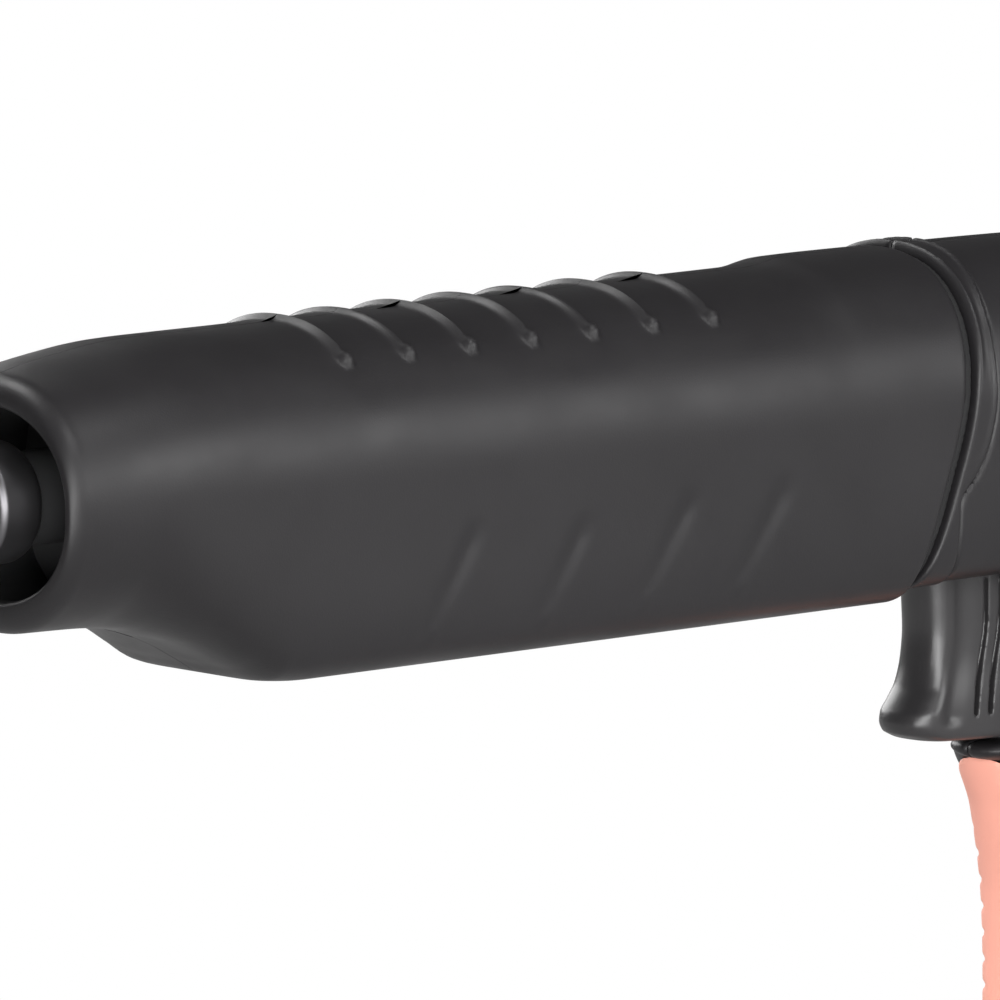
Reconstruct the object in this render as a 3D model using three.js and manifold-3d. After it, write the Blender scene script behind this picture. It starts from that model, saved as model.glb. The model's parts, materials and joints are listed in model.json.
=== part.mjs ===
// Pistol-grip MIG welding torch with its wire drive in the barrel housing.
// Millimetres, +Z up, the nozzle end towards -X, the operator's right side towards +Y.
// All pieces are laid out in the housing frame: X = 0 at the front of the nose, Z = 0 on the wire's line.
// One outer group then moves the origin to the middle of the pistol grip.
import * as THREE from 'three';
import { mergeVertices } from 'three/addons/utils/BufferGeometryUtils.js';
import Module from 'manifold-3d';

const wasm = await Module();
wasm.setup();

// ---------- driving dimensions ----------
const GRIP_CENTRE = [277, 0, -104];   // middle of the pistol grip in the housing frame
const WIDTH_HALF = 27;                // housing is 54 wide
const WALL = 2.6;                     // moulded wall
const HALF_GAP = 0.15;                // each half stops short of the middle plane by this
const HOLE_Y = 22.7, HOLE_Z = 17.9;   // nose opening, half sizes
const RIB_COUNT = 7, RIB_FIRST = 70.9, RIB_PITCH = 15.2, RIB_WIDTH = 3.2, RIB_HEIGHT = 1.1;
const RING = 26;                      // points round a housing section
const NECK_R = 8, NECK_BEND = 40;     // neck radius, bend in degrees
const NECK_STRAIGHT = -46;            // X where the bend starts
const NECK_BEND_R = 42;
const NUT_R = 11.2;
const ROLL_X = 102, DRIVE_Z = -9, DRIVE_R = 8.4, PRESS_R = 7, PRESS_Z = 7.6;
const MOTOR_Y = 8, MOTOR_Z = -20, MOTOR_R = 12.3;
const TRIG_PIN = [247, -29.6];        // X, Z of the trigger's pivot
const TRIG_HALF = 7.3;                // trigger is 14.6 wide
const GLAND_X = 281;

// upper and lower outline of the housing, X then Z
const TOP = [[0, 21.0], [1.5, 22.4], [4.3, 23.2], [16, 25.4], [26, 26.7], [35, 27.2], [62, 27.3], [188, 27.8], [197, 29.1], [235, 29], [262, 28.7], [290, 26.5], [301, 24.5]];
const BOT = [[0, -21.4], [1.5, -23], [4.3, -24], [15, -24.2], [24, -24.8], [30, -26], [35, -27.6], [40, -29.7], [46, -32.9], [52, -36], [62, -36.4], [206, -36.4], [214, -33.8], [262, -33.8], [290, -31.5], [301, -29.5]];
// rear edge of the front housing, Z then X
const SEAM = [[40, 224.6], [29, 223.9], [11.2, 221.8], [-0.3, 220.1], [-15.3, 215.2], [-31.3, 209], [-45, 203.4]];

const lin = (table, x) => {
  if (x <= table[0][0]) return table[0][1];
  for (let i = 1; i < table.length; i++) {
    if (x <= table[i][0]) {
      const [a, b] = table[i - 1], [c, d] = table[i];
      return b + (d - b) * (x - a) / (c - a);
    }
  }
  return table[table.length - 1][1];
};
const mix = (a, b, t) => a + (b - a) * Math.min(1, Math.max(0, t));

// ---------- solids ----------
const toSolid = (geometry) => {
  const g = geometry.index ? geometry.clone() : geometry.clone();
  for (const name of Object.keys(g.attributes)) if (name !== 'position') g.deleteAttribute(name);
  const m = mergeVertices(g, 1e-4);
  return new wasm.Manifold(new wasm.Mesh({
    numProp: 3,
    vertProperties: new Float32Array(m.attributes.position.array),
    triVerts: new Uint32Array(m.index.array),
  }));
};
const toGeometry = (solid) => {
  const mesh = solid.getMesh();
  const g = new THREE.BufferGeometry();
  const n = mesh.numProp, count = mesh.vertProperties.length / n;
  const pos = new Float32Array(count * 3);
  for (let i = 0; i < count; i++) for (let k = 0; k < 3; k++) pos[i * 3 + k] = mesh.vertProperties[i * n + k];
  g.setAttribute('position', new THREE.BufferAttribute(pos, 3));
  g.setIndex(new THREE.BufferAttribute(new Uint32Array(mesh.triVerts), 1));
  g.computeVertexNormals();
  return g;
};
// closed body through rings of points, each ring counter-clockwise seen from the end of the list
const loft = (rings) => {
  const n = rings[0].length, verts = [], faces = [];
  for (const r of rings) for (const p of r) verts.push(...p);
  for (let i = 0; i + 1 < rings.length; i++) {
    for (let j = 0; j < n; j++) {
      const a = i * n + j, b = i * n + (j + 1) % n, c = a + n, d = b + n;
      faces.push(a, b, d, a, d, c);
    }
  }
  const cap = (ring, base, flip) => {
    const c = [0, 1, 2].map((k) => ring.reduce((s, p) => s + p[k], 0) / n);
    const id = verts.length / 3;
    verts.push(...c);
    for (let j = 0; j < n; j++) {
      const a = base + j, b = base + (j + 1) % n;
      if (flip) faces.push(id, b, a); else faces.push(id, a, b);
    }
  };
  cap(rings[0], 0, true);
  cap(rings[rings.length - 1], (rings.length - 1) * n, false);
  let g = new THREE.BufferGeometry();
  g.setAttribute('position', new THREE.BufferAttribute(new Float32Array(verts), 3));
  g.setIndex(faces);
  let s = toSolid(g);
  if (s.volume() < 0) {
    for (let i = 0; i < faces.length; i += 3) { const t = faces[i]; faces[i] = faces[i + 1]; faces[i + 1] = t; }
    g = new THREE.BufferGeometry();
    g.setAttribute('position', new THREE.BufferAttribute(new Float32Array(verts), 3));
    g.setIndex(faces);
    s = toSolid(g);
  }
  return s;
};
const box = (x0, x1, y0, y1, z0, z1) => {
  const g = new THREE.BoxGeometry(x1 - x0, y1 - y0, z1 - z0);
  g.translate((x0 + x1) / 2, (y0 + y1) / 2, (z0 + z1) / 2);
  return toSolid(g);
};
// round bar along an axis: from a to b on that axis, centred on the other two coordinates
const bar = (axis, a, b, r, c1, c2, seg = 20, r2 = r) => {
  const g = new THREE.CylinderGeometry(r2, r, b - a, seg);
  if (axis === 'x') { g.rotateZ(-Math.PI / 2); g.translate((a + b) / 2, c1, c2); }
  if (axis === 'y') { g.translate(c1, (a + b) / 2, c2); }
  if (axis === 'z') { g.rotateX(Math.PI / 2); g.translate(c1, c2, (a + b) / 2); }
  return toSolid(g);
};
// turned piece about X: profile of [x, r] points that starts and ends on the axis or closes on itself
const turnedX = (profile, seg = 28, cy = 0, cz = 0) => {
  const g = new THREE.LatheGeometry(profile.map(([x, r]) => new THREE.Vector2(r, x)), seg);
  g.rotateZ(-Math.PI / 2);
  g.translate(0, cy, cz);
  let s = toSolid(g);
  if (s.volume() < 0) {
    const h = new THREE.LatheGeometry([...profile].reverse().map(([x, r]) => new THREE.Vector2(r, x)), seg);
    h.rotateZ(-Math.PI / 2); h.translate(0, cy, cz);
    s = toSolid(h);
  }
  return s;
};
// plate: outline in X, Z extruded along Y
const plate = (outline, y0, y1) => {
  const shape = new THREE.Shape(outline.map(([x, z]) => new THREE.Vector2(x, z)));
  const g = new THREE.ExtrudeGeometry(shape, { depth: y1 - y0, bevelEnabled: false, curveSegments: 8 });
  g.rotateX(Math.PI / 2);          // z of the shape goes up, depth goes to -Y
  g.translate(0, y1, 0);
  return toSolid(g);
};
// hose: ring section along a smooth curve
const hose = (points, r, bore, steps, sides = 8) => {
  const shape = new THREE.Shape();
  const hole = new THREE.Path();
  for (let i = 0; i < sides; i++) {
    const a = 2 * Math.PI * i / sides;
    const p = [r * Math.cos(a), r * Math.sin(a)], q = [bore * Math.cos(-a), bore * Math.sin(-a)];
    if (i === 0) { shape.moveTo(...p); hole.moveTo(...q); } else { shape.lineTo(...p); hole.lineTo(...q); }
  }
  shape.closePath(); hole.closePath();
  if (bore > 0) shape.holes.push(hole);
  const curve = new THREE.CatmullRomCurve3(points.map((p) => new THREE.Vector3(...p)), false, 'centripetal');
  return toSolid(new THREE.ExtrudeGeometry(shape, { steps, bevelEnabled: false, extrudePath: curve }));
};
const union = (...list) => list.reduce((a, b) => a.add(b));
const cut = (a, ...list) => list.reduce((s, b) => s.subtract(b), a);

// ---------- housing sections ----------
const halfWidth = (x) => {
  let w = WIDTH_HALF;
  if (x < 35) w -= 2 * (1 - x / 35) ** 2;
  if (x < 4.3) w -= 2.2 * (1 - x / 4.3) ** 2;
  if (x > 262) w -= 3 * ((x - 262) / 39) ** 2;
  return w;
};
const superRing = (x, w, zt, zb, nt, nb, n = RING) => {
  const ring = [];
  for (let i = 0; i < n; i++) {
    const t = 2 * Math.PI * (i + 0.5) / n, c = Math.cos(t), s = Math.sin(t);
    const e = s >= 0 ? nt : nb, h = s >= 0 ? zt : -zb;
    ring.push([x, w * Math.sign(c) * Math.abs(c) ** (2 / e), Math.sign(s) * h * Math.abs(s) ** (2 / e)]);
  }
  return ring;
};
const TOP_POWER = 2.25;               // the crown is nearly round
const bottomPower = (x) => mix(2.2, 7, (x - 24) / 34);   // the belly is nearly square
const outerRing = (x, grow = 0) => superRing(x, halfWidth(x) + grow, lin(TOP, x) + grow, lin(BOT, x) - grow, TOP_POWER, bottomPower(x));
const innerRing = (x, wall) => superRing(x, halfWidth(x) - wall, lin(TOP, x) - wall, lin(BOT, x) + wall, TOP_POWER, bottomPower(x));
const FRONT_X = [0, 1.8, 4.3, 16, 24, 30, 35, 40, 46, 52, 62, 188, 197, 228];
const REAR_X = [203, 214, 235, 262, 290, 301];

const frontOuter = loft(FRONT_X.map((x) => outerRing(x)));
const holeRing = (x, grow = 0) => superRing(x, HOLE_Y + grow, HOLE_Z + grow, -HOLE_Z - grow, 2.2, 2.2);
const frontInner = loft([
  holeRing(-1), holeRing(4.3),
  superRing(12, halfWidth(12) - 2.9, 20.6, -20.4, 2.6, 2.3),
  ...[24, 30, 35, 40, 46, 52, 62, 188, 197, 229].map((x) => innerRing(x, WALL)),
]);
const rearOuter = loft(REAR_X.map((x) => outerRing(x)));
const rearInner = loft([201, 214, 235, 262, 290, 302].map((x) => innerRing(x, WALL)));

// side view masks on both sides of the joint between the two housings
const seamLine = (shift) => SEAM.map(([z, x]) => [x + shift, z]);
const frontMask = plate([[-30, -60], ...seamLine(0).reverse(), [-30, 40]], -60, 60);
const rearMask = plate([...seamLine(2.4), [360, -45], [360, 40]], -60, 60);
const gasketMask = plate([...seamLine(0.4), ...seamLine(2.0).reverse()], -60, 60);

// ---------- pistol grip ----------
// Z, front X, back X, half width
const GRIP = [[-22, 252, 294, 16], [-56, 250, 296, 17], [-70, 249.6, 297.5, 17], [-84, 253.4, 300, 16.6], [-104, 256.2, 303, 16.5], [-126, 256.8, 305.4, 17.2], [-150, 255, 307, 18.2]];
const gripRing = ([z, f, b, w], t, n = 18) => {
  const ring = [], cx = (f + b) / 2, a = (b - f) / 2 - t;
  for (let i = 0; i < n; i++) {
    const u = 2 * Math.PI * (i + 0.5) / n, c = Math.cos(u), s = Math.sin(u);
    ring.push([cx + a * Math.sign(c) * Math.abs(c) ** (2 / 2.5), (w - t) * Math.sign(s) * Math.abs(s) ** (2 / 2.5), z]);
  }
  return ring;
};
const gripLoft = (t) => loft(GRIP.map((g) => gripRing(g, t)));
const gripOuter = gripLoft(0);
const padRegion = plate([[240, -75], [272, -79], [280, -92], [283, -118], [280, -138], [272, -146], [240, -146]], -40, 40);
const padRegionWide = plate([[240, -74.7], [272.2, -78.7], [280.3, -91.9], [283.3, -118], [280.3, -138.2], [272.2, -146.3], [240, -146.3]], -40, 40);
const gripPad = cut(gripOuter.intersect(padRegion), gripLoft(2.2));
const gripCore = union(gripLoft(2.5), cut(gripOuter, padRegionWide));
const gripInner = loft([
  ...GRIP.slice(0, -1).map((g) => gripRing(g, g[0] < -74 && g[0] > -148 ? 5 : 3)),
  gripRing([-146.8, 255, 306.6, 18], 5),
]);
// ---------- screws and their bosses ----------
const SCREWS_FRONT = [[50, 14.5], [150, 15], [208, 16]];
const SCREWS_REAR = [[234, 16.5, 18.1], [288, -24, 20.4]];   // X, Z and where the head's recess starts
const SCREW_GRIP = [296, -128];
const sideAt = (x, z, cap) => cap;
const boss = (x, z, y0, y1) => cut(bar('y', y0, y1, 3.4, x, z, 12), bar('y', y0 - 1, y1 + 1, 1.9, x, z, 10));
const bossesFront = SCREWS_FRONT.map(([x, z]) => bar('y', -22.2, 21, 3.6, x, z, 8).intersect(frontOuter));
const bossHolesFront = SCREWS_FRONT.map(([x, z]) => union(bar('y', -14, 40, 1.9, x, z, 8), bar('y', 18.1, 40, 4, x, z, 10)));
const bossesRear = SCREWS_REAR.map(([x, z]) => bar('y', -21.5, 21, 3.6, x, z, 8).intersect(rearOuter));
const bossHolesRear = SCREWS_REAR.map(([x, z, y]) => union(bar('y', -14, 40, 1.9, x, z, 8), bar('y', y, 40, 4, x, z, 10)));

// ---------- front housing ----------
const ribs = [];
for (let i = 0; i < RIB_COUNT; i++) {
  const x = RIB_FIRST + i * RIB_PITCH, h = RIB_WIDTH / 2;
  const slice = loft([outerRing(x - h * 0.8, RIB_HEIGHT), outerRing(x + h * 0.8, RIB_HEIGHT)]);
  ribs.push(slice.intersect(box(x - 10, x + 10, -18.5, 18.5, 10, 40)));
}
let front = cut(union(frontOuter, ...ribs), frontInner);
front = union(front, ...bossesFront);
front = cut(front, ...bossHolesFront).intersect(frontMask);
// four shallow slanted finger reliefs low on each side, 0.5 deep
const FINGER = [[96.2, -10.1, 83.9, -28.7], [123.1, -11.6, 112, -28.4], [150.1, -9.4, 137, -27.5], [174.5, -9, 161, -27.3]];
const fingerPlates = FINGER.map(([x0, z0, x1, z1]) => {
  const l = Math.hypot(x1 - x0, z1 - z0), u = 1.3 * (z0 - z1) / l, v = 1.3 * (x0 - x1) / l;
  return plate([[x0 - u, z0 + v], [x0 + u, z0 - v], [x1 + u, z1 - v], [x1 - u, z1 + v]], -40, 40);
});
front = cut(front, ...fingerPlates.map((f) => cut(f, loft([outerRing(70, -0.5), outerRing(185, -0.5)]))));
// slot for the tension spindle in the right side
front = cut(front, bar('y', 10, 40, 3.2, 82, 12, 16));
const forearmLeft = front.intersect(box(-40, 400, -80, -HALF_GAP, -80, 80));
const forearmRight = front.intersect(box(-40, 400, HALF_GAP, 80, -80, 80));

// ---------- rear housing with grip ----------
let rear = union(rearOuter.intersect(rearMask), gripCore);
const rearRidge = loft([outerRing(233, 0.1), outerRing(234, 1.1), outerRing(237, 1.1), outerRing(238, 0.1)]).intersect(box(220, 250, -20, 20, 14, 60));
rear = union(rear, rearRidge);
rear = cut(rear, rearInner.intersect(box(190, 299, -60, 60, -60, 60)), gripInner);
rear = union(rear, ...bossesRear.map((b) => b));
// bosses for the trigger pin
const pinBoss = (y0, y1) => box(TRIG_PIN[0] - 4, TRIG_PIN[0] + 4, y0, y1, -33, TRIG_PIN[1] + 4);
rear = union(rear, pinBoss(-13, -8.4), pinBoss(8.4, 13));
rear = cut(rear,
  ...bossHolesRear,
  box(222, 254.5, -8.2, 8.2, -69, -20),                 // trigger opening through the belly and the grip's front
  bar('y', -11.4, 11.4, 1.9, TRIG_PIN[0], TRIG_PIN[1], 12),
  bar('z', -160, -140, 12.5, GLAND_X, 0, 20),           // gland hole in the grip's foot
  bar('x', 280, 310, 4.2, 0, 6, 16));                   // opening for the speed control's spindle
rear = union(rear, bar('y', -14.5, 13.8, 3.2, SCREW_GRIP[0], SCREW_GRIP[1], 12));
rear = cut(rear, bar('y', -10, 40, 1.8, SCREW_GRIP[0], SCREW_GRIP[1], 10), bar('y', 12.4, 40, 3.4, SCREW_GRIP[0], SCREW_GRIP[1], 16));
rear = cut(rear, box(298.8, 320, -60, 60, -40, 60).subtract(gripOuter));
const rearLeft = rear.intersect(box(150, 400, -80, -HALF_GAP, -200, 80));
const rearRight = rear.intersect(box(150, 400, HALF_GAP, 80, -200, 80));

// gasket between the two housings
const gasket = cut(loft(REAR_X.slice(0, 4).map((x) => outerRing(x, -0.9))), loft([201, 214, 228, 263].map((x) => innerRing(x, WALL)))).intersect(gasketMask);

// rear cap with a hole for the spindle
const capBody = loft([outerRing(299.1, -0.2), outerRing(301, -0.3), superRing(304, 20.5, 21, -26, 2.25, 5.4), superRing(305.2, 17, 17.5, -22.5, 2.25, 5)]);
const rearCap = cut(capBody, bar('x', 290, 310, 4.2, 0, 6, 16), gripLoft(-0.3));

const screw = (x, z, yHead, yTip, rHead = 3.4) => {
  const g = new THREE.LatheGeometry([[0, yTip], [1.5, yTip], [1.5, yHead - 2], [rHead, yHead - 2], [rHead, yHead], [1.3, yHead], [1.3, yHead - 1.2], [0, yHead - 1.2]].map(([r, y]) => new THREE.Vector2(r, y)), 10);
  g.translate(x, 0, z);
  return toSolid(g);
};

// ---------- neck and nozzle ----------
const neckCurve = [];
{
  const b = NECK_BEND * Math.PI / 180;
  for (let i = 0; i <= 6; i++) {
    const a = b * i / 6;
    neckCurve.push([NECK_STRAIGHT - NECK_BEND_R * Math.sin(a), 0, -NECK_BEND_R * (1 - Math.cos(a))]);
  }
}
const bendEnd = neckCurve[neckCurve.length - 1];
const sweep = (r, from, outLength) => {
  const b = NECK_BEND * Math.PI / 180, n = 16;
  const rings = [];
  const ringAt = (c, ang) => {
    const ring = [];
    for (let j = 0; j < n; j++) {
      const t = 2 * Math.PI * j / n, y = r * Math.cos(t), q = r * Math.sin(t);
      ring.push([c[0] - q * Math.sin(ang), y, c[2] + q * Math.cos(ang)]);
    }
    return ring;
  };
  rings.push(ringAt([from, 0, 0], 0));
  for (let i = 0; i <= 6; i++) rings.push(ringAt(neckCurve[i], b * i / 6));
  rings.push(ringAt([bendEnd[0] - outLength * Math.cos(b), 0, bendEnd[2] - outLength * Math.sin(b)], b));
  return loft(rings);
};
const neckTube = cut(sweep(NECK_R, 5.6, 12), sweep(5, 7, 14));
const neckSleeve = cut(turnedX([[-44, 0], [-44, 10.2], [-42.6, 11], [-23, 11], [-22, 10], [-22, 0]], 20), bar('x', -46, -18, NECK_R + 0.3, 0, 0, 20));
const nutProfile = [[-20, 9.4], [-20, 10.2], [-18.8, NUT_R], [-6, NUT_R], [-5.2, NUT_R - 0.7], [-4.2, NUT_R - 0.7], [-3.4, NUT_R], [4.6, NUT_R], [5.8, NUT_R - 1.1], [5.8, NECK_R + 0.3], [-20, NECK_R + 0.3], [-20, 9.4]];
const neckNut = turnedX(nutProfile, 20);
const neckSocket = cut(union(bar('x', 6.3, 30, 8.6, 0, 0, 16), bar('x', 30, 62, 6.4, 0, 0, 16), bar('x', 26, 29.5, 12, 0, 0, 16)), bar('x', 5, 70, 2.6, 0, 0, 8));
const bulkhead = cut(loft([superRing(30.2, 24, 24.1, -22.8, 2.25, 2.7), superRing(34.5, 24, 24.4, -24.2, 2.25, 3)]), bar('x', 28, 40, 6.8, 0, 0, 16));

// nozzle group: built on its own axis, +s runs out of the nozzle, then turned to the neck's end
const nozzleGroup = new THREE.Group();
nozzleGroup.position.set(...bendEnd);
nozzleGroup.rotation.y = -NECK_BEND * Math.PI / 180;   // turns -X down towards -Z
const N = (s) => -s;                                    // distance s out of the bend along the nozzle axis
const insulator = cut(turnedX([[N(4.4), 0], [N(4.4), 10.4], [N(6), 11.2], [N(15), 11.2], [N(15), 9.2], [N(26), 9.2], [N(26), 0]].reverse(), 20), bar('x', N(30), N(0), NECK_R + 0.3, 0, 0, 20));
const diffuser = cut(turnedX([[N(12.4), 0], [N(12.4), 7.6], [N(26.4), 7.6], [N(27.4), 6.8], [N(34), 6.0], [N(34), 0]].reverse(), 16), bar('x', N(36), N(10), 2.2, 0, 0, 8), bar('z', -10, 10, 1.0, N(31), 0, 8));
const tip = cut(turnedX([[N(34.4), 0], [N(34.4), 4.2], [N(40), 4.2], [N(41), 3.9], [N(58), 3.4], [N(59.5), 2.6], [N(59.5), 0]].reverse(), 14), bar('x', N(62), N(33), 0.7, 0, 0, 8));
const nozzle = cut(turnedX([[N(15.5), 0], [N(15.5), 11.4], [N(17), 12], [N(54), 12], [N(60), 10.6], [N(67), 10.2], [N(67), 0]].reverse(), 24), turnedX([[N(10), 0], [N(10), 9.6], [N(56), 9.6], [N(62), 8.4], [N(70), 8.4], [N(70), 0]].reverse(), 24));

// ---------- wire drive ----------
const drivePlateLeft = cut(union(box(85.6, 121, -12, -7.2, -22, 12), box(110, 120, -12, -7.2, 11, 17)), bar('y', -20, 0, 3.3, ROLL_X, DRIVE_Z, 14), bar('y', -20, 0, 2.0, 116, 12, 12));
const drivePlateRight = cut(union(box(85.6, 121, 13.2, 16, -22, 12), box(110, 120, 13.2, 16, 11, 17)), bar('y', 10, 20, 3.3, ROLL_X, DRIVE_Z, 14), bar('y', 10, 20, 2.0, 116, 12, 12));
const plateSpacer1 = bar('y', -6.9, 12.9, 2.4, 88.6, -19, 12);
const plateSpacer2 = bar('y', -6.9, 12.9, 2.4, 117.5, -5, 12);
const driveShaft = union(bar('y', -13.4, 17.4, 3.0, ROLL_X, DRIVE_Z, 14));
const keyed = (outer, y0, y1) => cut(outer, bar('y', y0 - 1, y1 + 1, 3.3, ROLL_X, DRIVE_Z, 14));
const gearWheel = (teeth, rRoot, rTip, y0, y1, cx, cz) => {
  const pts = [];
  for (let i = 0; i < teeth; i++) {
    const s = 2 * Math.PI / teeth, a = s * i;
    for (const [f, r] of [[0.05, rRoot], [0.3, rTip], [0.6, rTip], [0.85, rRoot]]) pts.push([cx + r * Math.cos(a + f * s), cz + r * Math.sin(a + f * s)]);
  }
  return plate(pts, y0, y1);
};
const wormWheel = keyed(gearWheel(18, 5.9, 6.6, 5, 11, ROLL_X, DRIVE_Z), 5, 11);
const driveRoll = keyed(cut(bar('y', -3, 3, DRIVE_R, ROLL_X, DRIVE_Z, 20), cut(bar('y', -0.8, 0.8, DRIVE_R + 1, ROLL_X, DRIVE_Z, 20), bar('y', -0.9, 0.9, DRIVE_R - 0.7, ROLL_X, DRIVE_Z, 20))), -3, 3);
const rollCollar = keyed(bar('y', -6.4, -3.4, 5, ROLL_X, DRIVE_Z, 20), -6.4, -3.4);
const wormShaft = union(turnedX([[92, 0], [92, 2.4], [96, 2.4], [96.4, 3.2], [97.4, 3.9], [98.6, 3.2], [100.6, 3.9], [102, 3.2], [103.8, 3.9], [105, 3.2], [107, 3.9], [108, 2.4], [123.6, 2.4], [123.6, 0]].reverse(), 12, MOTOR_Y, MOTOR_Z));
const motorCan = cut(turnedX([[121.6, 0], [121.6, 5.5], [124.4, 5.5], [124.4, MOTOR_R - 0.8], [125.4, MOTOR_R], [195, MOTOR_R], [195, 0]].reverse(), 20, MOTOR_Y, MOTOR_Z), bar('x', 120, 160, 2.8, MOTOR_Y, MOTOR_Z, 14), bar('x', 150, 197, 9.5, MOTOR_Y, MOTOR_Z, 24));
const motorEnd = turnedX([[195.3, 0], [195.3, MOTOR_R - 0.2], [198.6, MOTOR_R - 0.2], [199.6, MOTOR_R - 1.2], [199.6, 4], [202.4, 4], [202.4, 0]].reverse(), 20, MOTOR_Y, MOTOR_Z);
const motorCradle = cut(box(150, 158, -8, 22.6, -20, -3.8), bar('x', 140, 170, MOTOR_R + 0.6, MOTOR_Y, MOTOR_Z, 20));
// pressure arm: two cheeks and a bridge, pivots at X 116, Z 12
const cheek = (y0, y1) => plate([[111, 6.6], [120, 7.4], [121, 15], [118, 17.6], [86, 17.6], [85.4, 16.4], [85.4, 14.4], [96, 12], [97.2, 3.6], [106.8, 3.6], [108, 8]], y0, y1);
const pressArm = cut(union(cheek(-6, -4.2), cheek(4.2, 6), box(79, 92, -5, 5, 14.95, 17.6)),
  bar('y', -10, 10, 2.0, 116, 12, 12), bar('y', -10, 10, 1.9, ROLL_X, PRESS_Z, 12));
const armPin = bar('y', -12.6, 17, 1.7, 116, 12, 12);
const pressRoll = cut(bar('y', -3, 3, PRESS_R, ROLL_X, PRESS_Z, 28), bar('y', -5, 5, 1.9, ROLL_X, PRESS_Z, 12));
const rollAxle = bar('y', -6.8, 6.8, 1.6, ROLL_X, PRESS_Z, 12);
const springSeat = box(82, 95, -10.8, 12, 20.4, 22);
// pressure spring between the seat and the bridge
const coil = (cx, cy, z0, z1, r, wire, turns, perTurn) => {
  const pts = [];
  for (let i = 0; i <= turns * perTurn; i++) {
    const a = 2 * Math.PI * i / perTurn;
    pts.push([cx + r * Math.cos(a), cy + r * Math.sin(a), z0 + wire + (z1 - z0 - 2 * wire) * i / (turns * perTurn)]);
  }
  return hose(pts, wire, 0, turns * perTurn, 5);
};
const pressSpring = coil(89, 0, 17.9, 20.1, 2.6, 0.4, 1, 12);
const tensionShaft = union(bar('y', -6, 31, 2.6, 82, 12, 16), bar('y', -2.4, 2.4, 2.6, 80.4, 12, 16));
const outletGuide = cut(bar('x', 62.4, 93, 2.2, 0, 0, 12), bar('x', 60, 96, 0.9, 0, 0, 8));
const inletGuide = cut(union(bar('x', 111, 121.6, 2.0, 0, 0, 12), bar('x', 121.6, 138, 3.4, 0, 0, 14)), bar('x', 108, 140, 0.9, 0, 0, 8));

// knurled knob on the right side, turns the cam shaft
const knobProfile = (r, flutes, depth) => {
  const pts = [];
  for (let i = 0; i < flutes * 2; i++) {
    const a = Math.PI * i / flutes, q = i % 2 ? r - depth : r;
    pts.push([q * Math.cos(a), q * Math.sin(a)]);
  }
  return pts;
};
const tensionKnob = cut(union(plate(knobProfile(8.6, 10, 0.8).map(([a, b]) => [82 + a, 12 + b]), 29.2, 35), bar('y', 27.6, 29.4, 6.4, 82, 12, 20)), bar('y', 20, 31.4, 2.9, 82, 12, 16));
const speedKnobAt = (() => {
  const k = plate(knobProfile(8.4, 10, 0.8), 0, 8.6);        // along Y first
  return k;
})();

// ---------- trigger group ----------
const trigOutline = [[238, -25.6], [234.6, -30], [234.2, -41.4], [234.4, -48.4], [233.2, -55.9], [231.5, -58.2], [228.2, -60.8], [227, -62.8], [227.4, -65], [229.5, -66.4], [237, -67.5], [248.8, -67.6], [250.3, -64], [251.8, -52], [251.6, -26.4], [250, -25.2]];
let trigger = plate(trigOutline, -TRIG_HALF, TRIG_HALF);
trigger = cut(trigger,
  bar('y', -20, 20, 2.0, TRIG_PIN[0], TRIG_PIN[1], 12),
  box(238.4, 260, -4.6, 4.6, -36, -20), box(238.4, 248.6, -4.6, 4.6, -62, -35.9),   // hollow inside, open at the top
  ...[-1, 1].flatMap((s) => [[246.4, -39], [250, -40]].map(([x]) => plate([[x, -38], [x + 1.1, -38], [x - 1.6, -62], [x - 2.7, -62]], s > 0 ? 6.3 : -9, s > 0 ? 9 : -6.3))));
const trigPin = bar('y', -11, 11, 1.7, TRIG_PIN[0], TRIG_PIN[1], 12);
const trigSpring = cut(bar('y', -3.6, 3.6, 3.3, TRIG_PIN[0], TRIG_PIN[1], 14), bar('y', -5, 5, 2.1, TRIG_PIN[0], TRIG_PIN[1], 12))
  .add(box(TRIG_PIN[0] - 7.4, TRIG_PIN[0] + 0.2, -3.4, -2.6, TRIG_PIN[1] - 3.3, TRIG_PIN[1] - 2.5));
const switchBody = cut(box(257.4, 266.6, -4.2, 4.2, -54, -36), bar('x', 255, 261.6, 1.7, 0, -44, 12));
const plunger = bar('x', 252.4, 259.4, 1.3, 0, -44, 12);
const speedPot = union(bar('x', 284, 295, 7, 0, 6, 20), bar('x', 294, 309, 3, 0, 6, 14));

// ---------- hoses, leads and gland ----------
const liner = hose([[138.4, 0, 0], [200, 0, 0], [228, 0, -1], [252, 0, -7], [269, 0, -22], [277, 2, -48], [280, 3, -90], [281, 2, -138]], 2.8, 1.2, 15, 6);
const gasHose = hose([[66, -18.4, -2], [130, -18.4, -2], [205, -18.2, -3], [240, -15, -3], [268, -10, -14], [286, -7, -44], [290, -5, -90], [288, -5, -138]], 2.8, 0, 15, 6);
const powerLead = hose([[66, -17.8, -20], [130, -17.8, -20], [196, -17.6, -19], [226, -15.6, -17], [248, -12, -16], [262, -8.5, -23], [269, -8, -37], [271.6, -7.6, -62], [272.4, -6, -96], [275, -5.6, -138]], 3.4, 0, 18, 6);
const powerLug = cut(union(box(60.4, 65.7, -21, -14, -23.6, -16.4), box(56, 60.5, -21, -6.7, -23.6, -16.4).intersect(box(50, 60.5, -21, -6.7, -23.6, -16.4)), box(52, 60.5, -10, -7.0, -23.6, 4)), bar('x', 50, 70, 0.9, -17.8, -20, 8));
const controlLead = hose([[262, 5, -54.6], [264, 6.4, -70], [267.6, 7.6, -100], [272, 7, -138]], 1.5, 0, 8, 6);
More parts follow.
